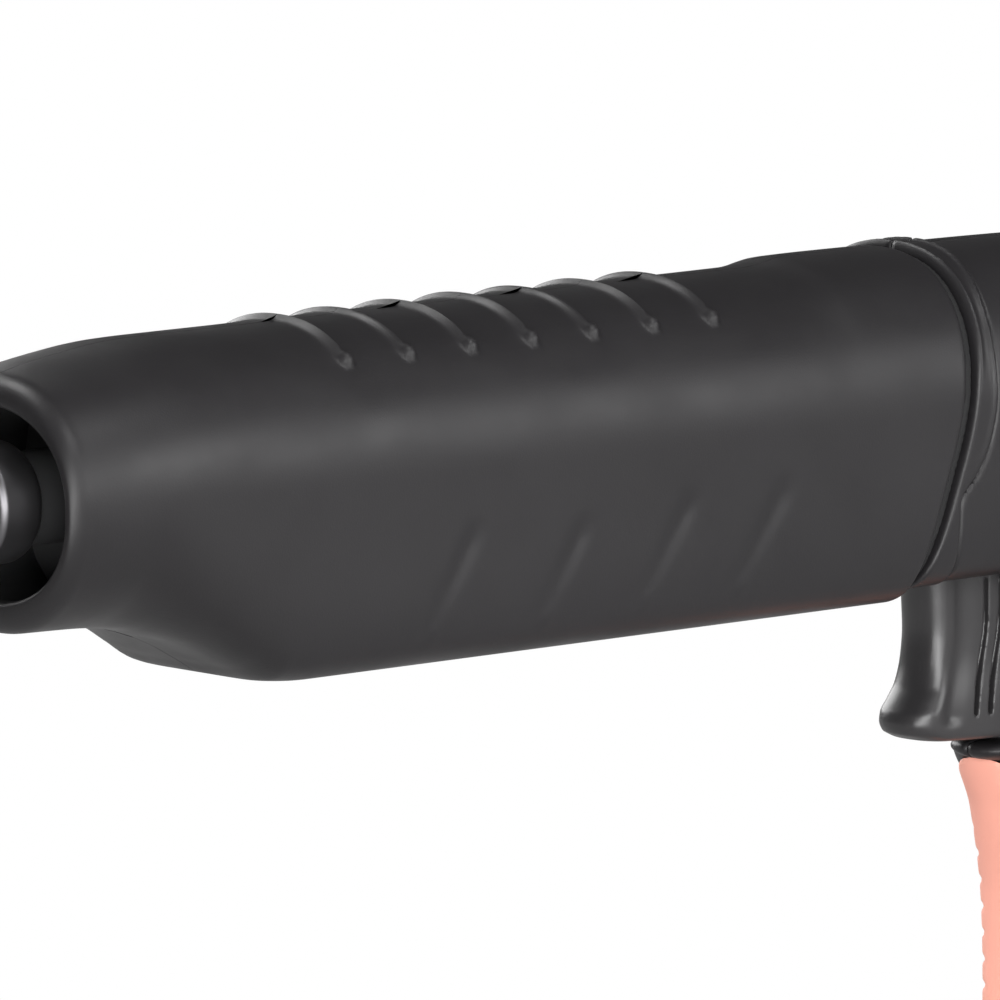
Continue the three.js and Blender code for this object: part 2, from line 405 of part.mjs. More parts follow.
const gland = cut(union(bar('z', -160, -141, 12, GLAND_X, 0, 20), bar('z', -157, -152.4, 16, GLAND_X, 0, 6), bar('z', -178, -159, 11, GLAND_X, 0, 20)), bar('z', -182, -138, 9, GLAND_X, 0, 20));
const glandNut = cut(union(bar('z', -176, -161, 14.8, GLAND_X, 0, 12), bar('z', -184, -175, 13.4, GLAND_X, 0, 20, 14.2)), bar('z', -190, -159, 11.5, GLAND_X, 0, 20));

// ---------- assembly ----------
const material = (color, roughness, metalness) => new THREE.MeshStandardMaterial({ color, roughness, metalness });
const CHARCOAL = () => material(0x434144, 0.55, 0);
const BLACK = () => material(0x1b1b1d, 0.6, 0);
const STEEL = () => material(0x8f9194, 0.35, 1);
const BRASS = () => material(0xb08d4a, 0.35, 1);
const ALU = () => material(0xa6a8ab, 0.45, 1);
const ORANGE = () => material(0xf4a291, 0.65, 0);

const root = new THREE.Group();
root.position.set(-GRIP_CENTRE[0], -GRIP_CENTRE[1], -GRIP_CENTRE[2]);
const put = (name, solid, mat, parent = root) => {
  const m = new THREE.Mesh(toGeometry(solid), mat);
  m.name = name;
  parent.add(m);
  return m;
};

put('forearm_shell_left', forearmLeft, CHARCOAL());
put('forearm_shell_right', forearmRight, CHARCOAL());
put('rear_housing_left', rearLeft, CHARCOAL());
put('rear_housing_right', rearRight, CHARCOAL());
put('seam_gasket', gasket, BLACK());
put('rear_cap', rearCap, BLACK());
put('grip_front_pad', gripPad, ORANGE());
SCREWS_FRONT.forEach(([x, z], i) => put('body_screw_' + (i + 1), screw(x, z, 20.4, -8), STEEL()));
SCREWS_REAR.forEach(([x, z, y], i) => put('rear_screw_' + (i + 1), screw(x, z, y + 2.3, -8), STEEL()));
put('grip_screw', screw(...SCREW_GRIP, 15, -7, 3.1), STEEL());

put('neck_tube', neckTube, BRASS());
put('neck_sleeve', neckSleeve, BLACK());
put('neck_nut', neckNut, material(0x4a484c, 0.3, 0.2));
put('neck_socket', neckSocket, BRASS());
put('nose_bulkhead', bulkhead, BLACK());
root.add(nozzleGroup);
put('nozzle_insulator', insulator, BLACK(), nozzleGroup);
put('gas_diffuser', diffuser, BRASS(), nozzleGroup);
put('contact_tip', tip, material(0xb87346, 0.3, 1), nozzleGroup);
put('gas_nozzle', nozzle, material(0xa9785a, 0.3, 1), nozzleGroup);

put('drive_plate_left', drivePlateLeft, ALU());
put('drive_plate_right', drivePlateRight, ALU());
put('plate_spacer_front', plateSpacer1, STEEL());
put('plate_spacer_rear', plateSpacer2, STEEL());
put('drive_shaft', driveShaft, STEEL());
put('worm_wheel', wormWheel, BRASS());
put('drive_roll', driveRoll, STEEL());
put('drive_roll_collar', rollCollar, STEEL());
put('worm_shaft', wormShaft, STEEL());
put('motor_can', motorCan, STEEL());
put('motor_end_cap', motorEnd, BLACK());
put('motor_cradle', motorCradle, BLACK());
put('pressure_arm', pressArm, ALU());
put('pressure_arm_pin', armPin, STEEL());
put('pressure_roll', pressRoll, STEEL());
put('pressure_roll_axle', rollAxle, STEEL());
put('spring_seat', springSeat, STEEL());
put('pressure_spring', pressSpring, STEEL());
put('tension_shaft', tensionShaft, STEEL());
put('tension_knob', tensionKnob, BLACK());
put('wire_outlet_guide', outletGuide, BRASS());
put('wire_inlet_guide', inletGuide, BRASS());

put('trigger', trigger, CHARCOAL());
put('trigger_pin', trigPin, STEEL());
put('trigger_spring', trigSpring, STEEL());
put('switch_body', switchBody, BLACK());
put('switch_plunger', plunger, ORANGE());
put('speed_pot', speedPot, STEEL());
const speedHolder = new THREE.Group();
speedHolder.position.set(305.9, 0, 6);
speedHolder.rotation.z = -Math.PI / 2;
root.add(speedHolder);
put('speed_knob', cut(speedKnobAt, bar('y', -1, 3.8, 3.3, 0, 0, 14)), BLACK(), speedHolder);

put('wire_liner', liner, material(0x8a8d90, 0.5, 0.6));
put('gas_hose', gasHose, BLACK());
put('power_lead', powerLead, material(0x7a2a20, 0.6, 0));
put('power_lug', powerLug, BRASS());
put('control_lead', controlLead, BLACK());
put('cable_gland', gland, BLACK());
put('gland_nut', glandNut, BLACK());

export default root;
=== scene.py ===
import json
import math
import bpy
import bmesh
import numpy as np
from mathutils import Matrix, Vector


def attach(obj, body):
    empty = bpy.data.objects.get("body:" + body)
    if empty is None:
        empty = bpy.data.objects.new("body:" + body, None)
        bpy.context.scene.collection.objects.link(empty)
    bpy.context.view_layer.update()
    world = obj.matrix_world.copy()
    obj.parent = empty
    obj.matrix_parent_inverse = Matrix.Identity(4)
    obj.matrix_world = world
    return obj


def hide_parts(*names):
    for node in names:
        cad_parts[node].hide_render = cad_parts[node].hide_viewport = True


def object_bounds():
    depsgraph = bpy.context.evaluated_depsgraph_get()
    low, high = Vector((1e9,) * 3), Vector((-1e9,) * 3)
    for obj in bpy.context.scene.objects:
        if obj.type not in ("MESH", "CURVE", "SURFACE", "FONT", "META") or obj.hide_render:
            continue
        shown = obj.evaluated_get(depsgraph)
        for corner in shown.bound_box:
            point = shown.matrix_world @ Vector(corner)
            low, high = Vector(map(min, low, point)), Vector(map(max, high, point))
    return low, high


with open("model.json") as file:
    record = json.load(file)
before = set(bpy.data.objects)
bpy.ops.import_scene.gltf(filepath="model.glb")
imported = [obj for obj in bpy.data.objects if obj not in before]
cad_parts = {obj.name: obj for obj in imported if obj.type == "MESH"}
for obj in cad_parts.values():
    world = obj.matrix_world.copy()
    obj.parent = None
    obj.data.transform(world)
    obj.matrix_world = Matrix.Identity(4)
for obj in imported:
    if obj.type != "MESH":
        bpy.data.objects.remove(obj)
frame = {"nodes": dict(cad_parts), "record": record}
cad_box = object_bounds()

# The housing frame of the part, in millimetres: X = 0 at the front of the nose, Z = 0 on the wire's line.
# The row frame is metres with its origin in the middle of the grip.
ORIGIN = np.array([277.0, 0.0, -104.0])


def row(p):
    return (np.asarray(p, float) - ORIGIN) / 1000.0


# ------------------------------------------------------------------ camera
A, E = math.radians(42.0), math.radians(7.5)
DIST, SCALE = 2400.0, 5.4
back = np.array([-math.sin(A) * math.cos(E), -math.cos(A) * math.cos(E), math.sin(E)])
right = np.array([math.cos(A), -math.sin(A), 0.0])
up = np.cross(right, -back)
FPX = DIST * SCALE
eye = np.array([110.0, 0, 0]) + back * DIST
look = -back + right * ((500 - 437.27) / FPX) - up * ((500 - 449.49) / FPX)
cam_data = bpy.data.cameras.new("camera")
cam = bpy.data.objects.new("camera", cam_data)
bpy.context.scene.collection.objects.link(cam)
cam.location = Vector(row(eye))
cam.rotation_euler = Vector(look).to_track_quat("-Z", "Y").to_euler()
cam_data.sensor_width = 36.0
cam_data.lens = FPX / 1000.0 * 36.0
cam_data.clip_start = 0.05
cam_data.clip_end = 60.0
bpy.context.scene.camera = cam


# ------------------------------------------------------------------ materials
def new_mat(name):
    m = bpy.data.materials.new(name)
    m.use_nodes = True
    nt = m.node_tree
    for n in list(nt.nodes):
        nt.nodes.remove(n)
    out = nt.nodes.new("ShaderNodeOutputMaterial")
    b = nt.nodes.new("ShaderNodeBsdfPrincipled")
    nt.links.new(b.outputs[0], out.inputs[0])
    return m, nt, b


def coords(nt):
    return nt.nodes.new("ShaderNodeTexCoord").outputs["Object"]


def noise(nt, vec, scale, detail=4.0, rough=0.55):
    n = nt.nodes.new("ShaderNodeTexNoise")
    n.inputs["Scale"].default_value = scale
    n.inputs["Detail"].default_value = detail
    n.inputs["Roughness"].default_value = rough
    nt.links.new(vec, n.inputs["Vector"])
    return n.outputs["Fac"]


def ramp(nt, fac, stops):
    r = nt.nodes.new("ShaderNodeValToRGB")
    els = r.color_ramp.elements
    while len(els) > 1:
        els.remove(els[-1])
    els[0].position, els[0].color = stops[0][0], (*stops[0][1], 1)
    for pos, col in stops[1:]:
        e = els.new(pos)
        e.color = (*col, 1)
    nt.links.new(fac, r.inputs["Fac"])
    return r.outputs["Color"]


def remap(nt, fac, a, b, lo, hi):
    m = nt.nodes.new("ShaderNodeMapRange")
    m.inputs["From Min"].default_value = a
    m.inputs["From Max"].default_value = b
    m.inputs["To Min"].default_value = lo
    m.inputs["To Max"].default_value = hi
    nt.links.new(fac, m.inputs["Value"])
    return m.outputs["Result"]


def bump(nt, height, strength, distance, base=None):
    n = nt.nodes.new("ShaderNodeBump")
    n.inputs["Strength"].default_value = strength
    n.inputs["Distance"].default_value = distance
    nt.links.new(height, n.inputs["Height"])
    if base is not None:
        nt.links.new(base, n.inputs["Normal"])
    return n.outputs["Normal"]


def tint(c, k):
    return tuple(min(1.0, max(0.0, x * k)) for x in c)


def plastic(name, color, rough=0.45, grain=2600.0, grain_depth=0.00006, spec=0.5, wear=0.35, var=0.12, sheen=0.0):
    """Moulded plastic: fine spark-eroded grain, slow colour drift, rubbed edges."""
    m, nt, b = new_mat(name)
    v = coords(nt)
    slow = noise(nt, v, 14.0, 3.0)
    base = ramp(nt, slow, [(0.3, tint(color, 1 - var)), (0.7, tint(color, 1 + var))])
    geo = nt.nodes.new("ShaderNodeNewGeometry")
    edge = remap(nt, geo.outputs["Pointiness"], 0.53, 0.62, 0.0, wear)
    scratch = noise(nt, v, 160.0, 6.0, 0.7)
    gate = remap(nt, scratch, 0.45, 0.62, 0.0, 1.0)
    mul = nt.nodes.new("ShaderNodeMath")
    mul.operation = "MULTIPLY"
    nt.links.new(edge, mul.inputs[0])
    nt.links.new(gate, mul.inputs[1])
    mix = nt.nodes.new("ShaderNodeMix")
    mix.data_type = "RGBA"
    nt.links.new(mul.outputs[0], mix.inputs["Factor"])
    nt.links.new(base, mix.inputs[6])
    mix.inputs[7].default_value = (*[min(1.0, c * 2.0 + 0.03) for c in color], 1)
    nt.links.new(mix.outputs[2], b.inputs["Base Color"])
    mid = noise(nt, v, 60.0, 5.0)
    nt.links.new(remap(nt, mid, 0.3, 0.7, rough - 0.05, rough + 0.06), b.inputs["Roughness"])
    g = noise(nt, v, grain, 2.0, 0.5)
    n1 = bump(nt, g, 0.35, grain_depth)
    w = noise(nt, v, 55.0, 2.0)
    n2 = bump(nt, w, 0.12, 0.0004, n1)
    nt.links.new(n2, b.inputs["Normal"])
    b.inputs["Specular IOR Level"].default_value = spec
    if sheen:
        b.inputs["Sheen Weight"].default_value = sheen
        b.inputs["Sheen Roughness"].default_value = 0.6
    return m


def metal(name, color, rough=0.3, axis=(1.0, 1.0, 1.0), var=0.12, scale=900.0, heat=None):
    """Machined or drawn metal: fine turning or drawing marks along one axis, light smudges."""
    m, nt, b = new_mat(name)
    v = coords(nt)
    mp = nt.nodes.new("ShaderNodeMapping")
    mp.inputs["Scale"].default_value = axis
    nt.links.new(v, mp.inputs["Vector"])
    lines = noise(nt, mp.outputs[0], scale, 3.0, 0.6)
    slow = noise(nt, v, 40.0, 4.0)
    base = ramp(nt, slow, [(0.3, tint(color, 1 - var)), (0.7, tint(color, 1 + var))])
    nt.links.new(base, b.inputs["Base Color"])
    b.inputs["Metallic"].default_value = 1.0
    nt.links.new(remap(nt, slow, 0.3, 0.7, rough - 0.06, rough + 0.1), b.inputs["Roughness"])
    nt.links.new(bump(nt, lines, 0.2, 0.00004), b.inputs["Normal"])
    return m


def rubber(name, color, rough=0.7, grain=1500.0, sub=0.0):
    m, nt, b = new_mat(name)
    v = coords(nt)
    slow = noise(nt, v, 30.0, 4.0)
    base = ramp(nt, slow, [(0.3, tint(color, 0.93)), (0.7, tint(color, 1.06))])
    nt.links.new(base, b.inputs["Base Color"])
    nt.links.new(remap(nt, noise(nt, v, 90.0, 5.0), 0.3, 0.7, rough - 0.06, rough + 0.06), b.inputs["Roughness"])
    vo = nt.nodes.new("ShaderNodeTexVoronoi")
    vo.inputs["Scale"].default_value = grain
    nt.links.new(v, vo.inputs["Vector"])
    nt.links.new(bump(nt, vo.outputs["Distance"], 0.3, 0.00007), b.inputs["Normal"])
    b.inputs["Specular IOR Level"].default_value = 0.4
    return m


CHAR = (0.0128, 0.0120, 0.0130)
M = {
    "housing": plastic("housing_plastic", CHAR, 0.42, spec=0.30),
    # inside: a separate matt black copy of the housing plastic for inner faces, painted shade for the unlit interior
    "inside": plastic("inside_painted_shade", (0.03, 0.03, 0.031), 0.7, spec=0.3, wear=0.0),
    "black": plastic("black_plastic", (0.014, 0.014, 0.015), 0.42),
    "trigger": plastic("trigger_plastic", (0.022, 0.021, 0.022), 0.34, grain=2000.0, grain_depth=0.00004),
    "orange": rubber("orange_overmould", (0.93, 0.41, 0.315), 0.55),
    "seal": rubber("seal_rubber", (0.006, 0.006, 0.0065), 0.8),
    "red": plastic("red_button", (0.5, 0.05, 0.03), 0.3),
    "steel": metal("machined_steel", (0.42, 0.43, 0.44), 0.32),
    "neck": metal("neck_coat", (0.13, 0.127, 0.133), 0.42, (30.0, 1.0, 1.0), scale=160.0),
    "copper": metal("nozzle_copper", (0.62, 0.33, 0.2), 0.3, (30.0, 1.0, 1.0), scale=160.0),
    "tip": metal("tip_copper", (0.66, 0.3, 0.16), 0.26, (30.0, 1.0, 1.0), scale=160.0),
    "brass": metal("machined_brass", (0.55, 0.38, 0.14), 0.3),
    "alu": metal("milled_aluminium", (0.5, 0.51, 0.52), 0.36, (1.0, 12.0, 1.0), scale=300.0),
    "liner": metal("liner_wire", (0.3, 0.31, 0.32), 0.4),
    "jacket": rubber("lead_jacket", (0.2, 0.03, 0.02), 0.6),
}
SLOT_MAT = {"housing": "housing", "black_plastic": "black", "orange_grip": "orange", "seal": "seal", "trigger": "trigger",
            "switch_button": "red", "steel": "steel", "neck_metal": "neck", "nozzle_copper": "copper", "brass": "brass",
            "aluminium": "alu", "liner_wire": "liner", "lead_jacket": "jacket"}


# ------------------------------------------------------------------ mesh helpers
def make(name, verts, faces, mat, body, replaces=(), mats=None, face_mats=None, smooth=True, sharp=None, fix=True, housing=True):
    me = bpy.data.meshes.new(name)
    v = np.asarray(verts, float)
    if housing:
        v = row(v)
    me.from_pydata([tuple(p) for p in v], [], [tuple(int(i) for i in f) for f in faces])
    me.update()
    for mm in (mats or [mat]):
        me.materials.append(M[mm])
    if face_mats is not None:
        me.polygons.foreach_set("material_index", np.asarray(face_mats, np.int32))
    if fix:
        bm = bmesh.new()
        bm.from_mesh(me)
        bmesh.ops.remove_doubles(bm, verts=bm.verts, dist=1e-7)
        bmesh.ops.recalc_face_normals(bm, faces=bm.faces)
        bm.to_mesh(me)
        bm.free()
    me.polygons.foreach_set("use_smooth", [smooth] * len(me.polygons))
    o = bpy.data.objects.new(name, me)
    bpy.context.scene.collection.objects.link(o)
    if sharp is not None:
        me.set_sharp_from_angle(angle=math.radians(sharp))
    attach(o, body)
    if replaces:
        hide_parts(*replaces)
    return o


def hermite(table):
    """Smooth curve through a table of points, with no overshoot between them."""
    xs = np.array([p[0] for p in table], float)
    ys = np.array([p[1] for p in table], float)
    d = np.diff(ys) / np.diff(xs)
    m = np.zeros(len(xs))
    m[0], m[-1] = d[0], d[-1]
    for i in range(1, len(xs) - 1):
        m[i] = 0.0 if d[i - 1] * d[i] <= 0 else 2 * d[i - 1] * d[i] / (d[i - 1] + d[i])

    def f(x):
        x = np.clip(np.asarray(x, float), xs[0], xs[-1])
        i = np.clip(np.searchsorted(xs, x) - 1, 0, len(xs) - 2)
        h = xs[i + 1] - xs[i]
        t = (x - xs[i]) / h
        return ((2 * t ** 3 - 3 * t ** 2 + 1) * ys[i] + (t ** 3 - 2 * t ** 2 + t) * h * m[i]
                + (-2 * t ** 3 + 3 * t ** 2) * ys[i + 1] + (t ** 3 - t ** 2) * h * m[i + 1])
    return f


def step(x, a, b):
    t = np.clip((np.asarray(x, float) - a) / (b - a), 0, 1)
    return t * t * (3 - 2 * t)


# ------------------------------------------------------------------ housing shape
HOLE_Y, HOLE_Z = 22.7, 17.9
WALL = 2.6
TOP = hermite([(0, 22.1), (4.3, 23.2), (11, 24.6), (16, 25.4), (21, 26.1), (26, 26.7), (31, 27.05), (38, 27.2), (62, 27.25), (100, 27.45), (150, 27.65), (188, 27.8), (192, 28.2), (197, 29.1), (206, 29.2), (235, 29.0), (262, 28.7), (290, 26.5), (301, 24.5)])
BOT = hermite([(0, -23.8), (15, -24.1), (22, -24.5), (26, -25.0), (30, -26.0), (35, -27.6), (40, -29.7), (46, -32.9), (52, -35.9), (60, -36.4), (130, -36.4), (206, -36.4)])
BOT_REAR = hermite([(190, -33.8), (214, -33.8), (262, -33.8), (290, -31.5), (301, -29.5)])
NT = 2.25
SEAM = hermite([(-45, 203.4), (-31.3, 209), (-15.3, 215.2), (-0.3, 220.1), (11.2, 221.8), (29, 223.9), (40, 224.6)])


def half_width(x):
    x = np.asarray(x, float)
    w = np.full_like(x, 27.0)
    w = w - np.where(x < 35, 2 * (1 - np.clip(x, 0, 35) / 35) ** 2, 0)
    return w - np.where(x > 262, 3 * ((x - 262) / 39) ** 2, 0)


def bottom_power(x):
    return 2.2 + 4.8 * step(x, 18, 62)


def half_ring(w, zt, zb, nt, nb, fracs):
    """Points of half a section, from the top middle round the near side to the bottom middle, spaced by arc length."""
    t = np.linspace(math.pi / 2, -math.pi / 2, 721)
    c, s = np.cos(t), np.sin(t)
    c = np.clip(c, 0, 1)
    e = np.where(s >= 0, nt, nb)
    y = w * c ** (2 / e)
    z = np.where(s >= 0, zt, -zb) * np.sign(s) * np.abs(s) ** (2 / e)
    seg = np.hypot(np.diff(y), np.diff(z))
    L = np.concatenate([[0], np.cumsum(seg)])
    q = fracs * L[-1]
    return np.interp(q, L, y), np.interp(q, L, z), L[-1]


# columns: fine near the parting line and along the rest
def columns(n):
    core = np.linspace(0.0, 1.0, n)
    edge = np.array([0.0005, 0.0012, 0.0024, 0.005])
    return np.unique(np.concatenate([core, edge, 1 - edge]))


FR = columns(112)
RIBS = [70.9 + 15.2 * i for i in range(7)]


def relief(X, Y, Z):
    """Height of the moulded details above the plain front housing, in mm. Y is the distance from the middle plane."""
    h = np.zeros_like(X)
    on_top = step(Z, 12, 18)
    for xr in RIBS:
        d = X - xr
        prof = np.where(d < 0, np.exp(-(np.abs(d) / 1.25) ** 2.0), np.exp(-(np.abs(d) / 0.85) ** 2.0))
        prof = prof + 0.14 * np.where(d < 0, np.exp(-(np.abs(d) / 5.0) ** 2.0), 0) - 0.16 * np.exp(-((d - 2.1) / 0.9) ** 2)
        fade = 1 - step(Y, 17.4, 18.6)
        h = h + 1.1 * prof * fade * on_top
        # round bead that ends the rib
        r = np.hypot(d - 0.3, 1.25 * (Y - 17.9))
        h = np.maximum(h, 1.55 * np.sqrt(np.clip(1 - (r / 1.75) ** 2, 0, 1)) * on_top)
    # finger relief low on the sides
    for x0, z0, x1, z1 in [(96.2, -10.1, 83.9, -28.7), (123.1, -11.6, 112.0, -28.4), (150.1, -9.4, 137.0, -27.5), (174.5, -9.0, 161.0, -27.3)]:
        dx, dz = x1 - x0, z1 - z0
        L = math.hypot(dx, dz)
        t = np.clip(((X - x0) * dx + (Z - z0) * dz) / L ** 2, -0.3, 1.0)
        px, pz = x0 + t * dx, z0 + t * dz
        dist = np.hypot(X - px, Z - pz)
        side = step(Y, 15, 21)
        g = np.exp(-(dist / 2.0) ** 2) * step(t, -0.1, 0.2)
        h = h - 0.5 * g * side * (1 - 0.6 * t)
        bead = np.hypot(X - x1 - 1.5, Z - z1 + 0.4)
        h = h + 0.2 * np.exp(-(bead / 1.8) ** 2) * side
    return h


def front_half(side, name, node):
    """One moulded half of the front housing: rounded nose lip, ribs, finger relief, inner wall. side is -1 for the near half."""
    nf = len(FR)
    rows_o = []
    # lip from its crest out to the plain wall
    xs = np.concatenate([np.arange(4.3, 62, 1.05)[1:], np.arange(62.0, 168, 0.55), np.arange(168.0, 189, 1.2)])
    hole_y, hole_z, _ = half_ring(HOLE_Y, HOLE_Z, -HOLE_Z, 2.2, 2.2, FR)
    oy, oz, _ = half_ring(float(half_width(4.3)), float(TOP(4.3)), float(BOT(4.3)), NT, float(bottom_power(4.3)), FR)
    # lip: a flat front ring, a large radius outside and a small one at the hole
    for q, x in [(0.20, 0.0), (0.26, 0.0), (0.32, 0.02)]:
        rows_o.append((np.full(nf, x), hole_y + (oy - hole_y) * q, hole_z + (oz - hole_z) * q))
    for p in np.linspace(0, math.pi / 2, 12)[1:]:
        q = 0.34 + 0.66 * math.sin(p)
        rows_o.append((np.full(nf, 4.3 * (1 - math.cos(p))), hole_y + (oy - hole_y) * q, hole_z + (oz - hole_z) * q))
    for x in xs:
        y, z, _ = half_ring(float(half_width(x)), float(TOP(x)), float(BOT(x)), NT, float(bottom_power(x)), FR)
        rows_o.append((np.full(nf, x), y, z))
    # rear part stretches to the curved edge
    y2, z2, _ = half_ring(27.0, 29.1, -36.4, NT, 7.0, FR)
    end = SEAM(z2)
    tt = np.concatenate([np.linspace(0, 1, 24)[1:-1], 1 - np.array([0.022, 0.010, 0.004, 0.0])])
    for t in np.sort(tt):
        X = 189 + (end - 189) * t
        xm = 189 + (222 - 189) * t
        y, z, _ = half_ring(27.0, float(TOP(xm)), -36.4, NT, 7.0, FR)
        rows_o.append((X, y, z))
    P = np.stack([np.stack(r, -1) for r in rows_o])          # rows, cols, 3
    # normals of the plain surface
    du = np.gradient(P, axis=0)
    dv = np.gradient(P, axis=1)
    N = np.cross(du, dv)
    N /= np.linalg.norm(N, axis=2, keepdims=True) + 1e-12
    centre = np.stack([P[..., 0], np.zeros_like(P[..., 0]), np.zeros_like(P[..., 0])], -1)
    flip = np.sign((N * (P - centre)).sum(2, keepdims=True))
    N = N * np.where(flip == 0, 1, flip)
    h = relief(P[..., 0], P[..., 1], P[..., 2])
    h[:14] = 0
    # rounded edge along the parting line and at the rear edge
    d = np.abs(P[..., 1])
    r = 0.1
    near = np.clip((r + 0.02 - d) / r, 0, 1)
    h = h - np.where(np.arange(len(P))[:, None] > 13, r * (1 - np.sqrt(1 - near ** 2)), 0)
    gap = (end[None, :] - P[..., 0])
    near = np.clip((0.7 - gap) / 0.7, 0, 1)
    h = h - np.where(P[..., 0] > 189, 0.7 * (1 - np.sqrt(1 - near ** 2)), 0)
    P = P + N * h[..., None]
    P[..., 1] = np.maximum(P[..., 1], 0.02)
    # short slot in the parting line under the chin
    slot_here = (P[..., 0] > 29.4) & (P[..., 0] < 35.0) & (P[..., 2] < -20) & (P[..., 1] < 0.62)
    P[..., 1] = np.where(slot_here, 0.62, P[..., 1])
    # inner wall: hole, then the wall's inside
    inner = []
    for p in np.linspace(0, math.pi / 2, 6)[1:]:
        q = 0.20 * (1 - math.sin(p))
        inner.append((np.full(nf, 0.9 * (1 - math.cos(p))), hole_y + (oy - hole_y) * q, hole_z + (oz - hole_z) * q))
    inner.append((np.full(nf, 4.3), hole_y, hole_z))
    y0, z0, _ = half_ring(float(half_width(12)) - 2.9, 20.6, -20.4, 2.6, 2.3, FR)
    inner.append((np.full(nf, 8.0), (hole_y + y0) / 2 * 0.999, (hole_z + z0) / 2 * 0.999))
    inner.append((np.full(nf, 12.0), y0, z0))
    for x in [18, 24, 29, 35, 41, 47, 56, 80, 110, 140, 170, 189]:
        y, z, _ = half_ring(float(half_width(x)) - WALL, float(TOP(x)) - WALL, float(BOT(x)) + WALL, NT, float(bottom_power(x)), FR)
        inner.append((np.full(nf, float(x)), y, z))
    for t in (0.35, 0.7, 1.0):
        X = 189 + (end - 189) * t
        y, z, _ = half_ring(27.0 - WALL, float(TOP(189 + 33 * t)) - WALL, -36.4 + WALL, NT, 7.0, FR)
        inner.append((X, y, z))
    Q = np.stack([np.stack(r, -1) for r in inner])
    Q[..., 1] = np.maximum(Q[..., 1], 0.02)
    loop = np.concatenate([P[::-1], Q])            # rear edge, outside, lip crest, inside, rear edge
    loop[..., 1] *= side
    nr = len(loop)
    # inner wall faces past the lip take the black inside plastic: painted shade inside the housing
    faces, fm = [], []
    no = len(P)
    for i in range(nr):
        a, b = i, (i + 1) % nr
        for j in range(nf - 1):
            faces.append((a * nf + j, a * nf + j + 1, b * nf + j + 1, b * nf + j))
            fm.append(0 if i < no + 4 or i == nr - 1 else 1)
    # flat faces along the parting plane, outside chain against inside chain
    for j in (0, nf - 1):
        oc = [(no - 1 - k) * nf + j for k in range(no)]          # crest to rear
        ic = [(no - 1) * nf + j] + [(no + k) * nf + j for k in range(len(Q))]
        ox = [loop.reshape(-1, 3)[i][0] for i in oc]
        ix = [loop.reshape(-1, 3)[i][0] for i in ic]
        a = b = 0
        first = True
        while a < len(oc) - 1 or b < len(ic) - 1:
            if b >= len(ic) - 1 or (a < len(oc) - 1 and ox[a + 1] <= ix[b + 1]):
                tri = (oc[a], oc[a + 1], ic[b])
                a += 1
            else:
                tri = (oc[a], ic[b + 1], ic[b])
                b += 1
            if len(set(tri)) == 3:
                faces.append(tri)
                fm.append(0)
    o = make(name, loop.reshape(-1, 3), faces, None, "root", (node,), mats=["housing", "inside"], face_mats=fm, sharp=50)
    return o


front_near = front_half(-1, "front_housing_left", "forearm_shell_left")
front_far = front_half(1, "front_housing_right", "forearm_shell_right")


def skin_y(x, z):
    return float(half_width(x)) * max(0.0, 1 - abs(z / float(TOP(x))) ** NT) ** (1 / NT)


def pegs(name, spots, radius, y0, y1):
    """Closed round pegs along Y; y1 is a height, or None to end just under the skin."""
    verts, faces = [], []
    n = 40
    for x, z in spots:
        b = len(verts)
        ring = [(x + radius * math.cos(2 * math.pi * k / n), z + radius * math.sin(2 * math.pi * k / n)) for k in range(n)]
        verts += [(px, y0, pz) for px, pz in ring]
        verts += [(px, (skin_y(px, pz) - 0.9) if y1 is None else y1, pz) for px, pz in ring]
        verts.append((x, y0, z))
        verts.append((x, (skin_y(x, z) - 0.9) if y1 is None else y1, z))
        for k in range(n):
            l = (k + 1) % n
            faces += [(b + k, b + l, b + n + l), (b + k, b + n + l, b + n + k), (b + l, b + k, b + 2 * n), (b + n + k, b + n + l, b + 2 * n + 1)]
    me = bpy.data.meshes.new(name)
    me.from_pydata([tuple(q) for q in row(verts)], [], faces)
    me.materials.append(M["housing"])
    me.materials.append(M["inside"])
    bm = bmesh.new()
    bm.from_mesh(me)
    bmesh.ops.recalc_face_normals(bm, faces=bm.faces)
    bm.to_mesh(me)
    bm.free()
    o = bpy.data.objects.new(name, me)
    bpy.context.scene.collection.objects.link(o)
    return o


# screw recesses in the far half
spots = [(50, 14.5), (150, 15.0), (208, 16.0)]
for tool, op in ((pegs("boss", spots, 5.2, 15.6, None), "UNION"), (pegs("recess", spots, 4.0, 18.1, 34.0), "DIFFERENCE")):
    mod = front_far.modifiers.new("cut", "BOOLEAN")
    mod.operation = op
    mod.solver = "EXACT"
    mod.object = tool
    bpy.context.view_layer.update()
    got = bpy.data.meshes.new_from_object(front_far.evaluated_get(bpy.context.evaluated_depsgraph_get()))
    front_far.modifiers.remove(mod)
    if len(got.polygons) > 1000:
        front_far.data = got
    bpy.data.objects.remove(tool, do_unlink=True)
front_far.data.set_sharp_from_angle(angle=math.radians(50))


# ------------------------------------------------------------------ bodies from distance functions
def smin(a, b, k):
    h = np.clip(0.5 + 0.5 * (b - a) / k, 0, 1)
    return b + (a - b) * h - k * h * (1 - h)


def smax(a, b, k):
    return -smin(-a, -b, k)


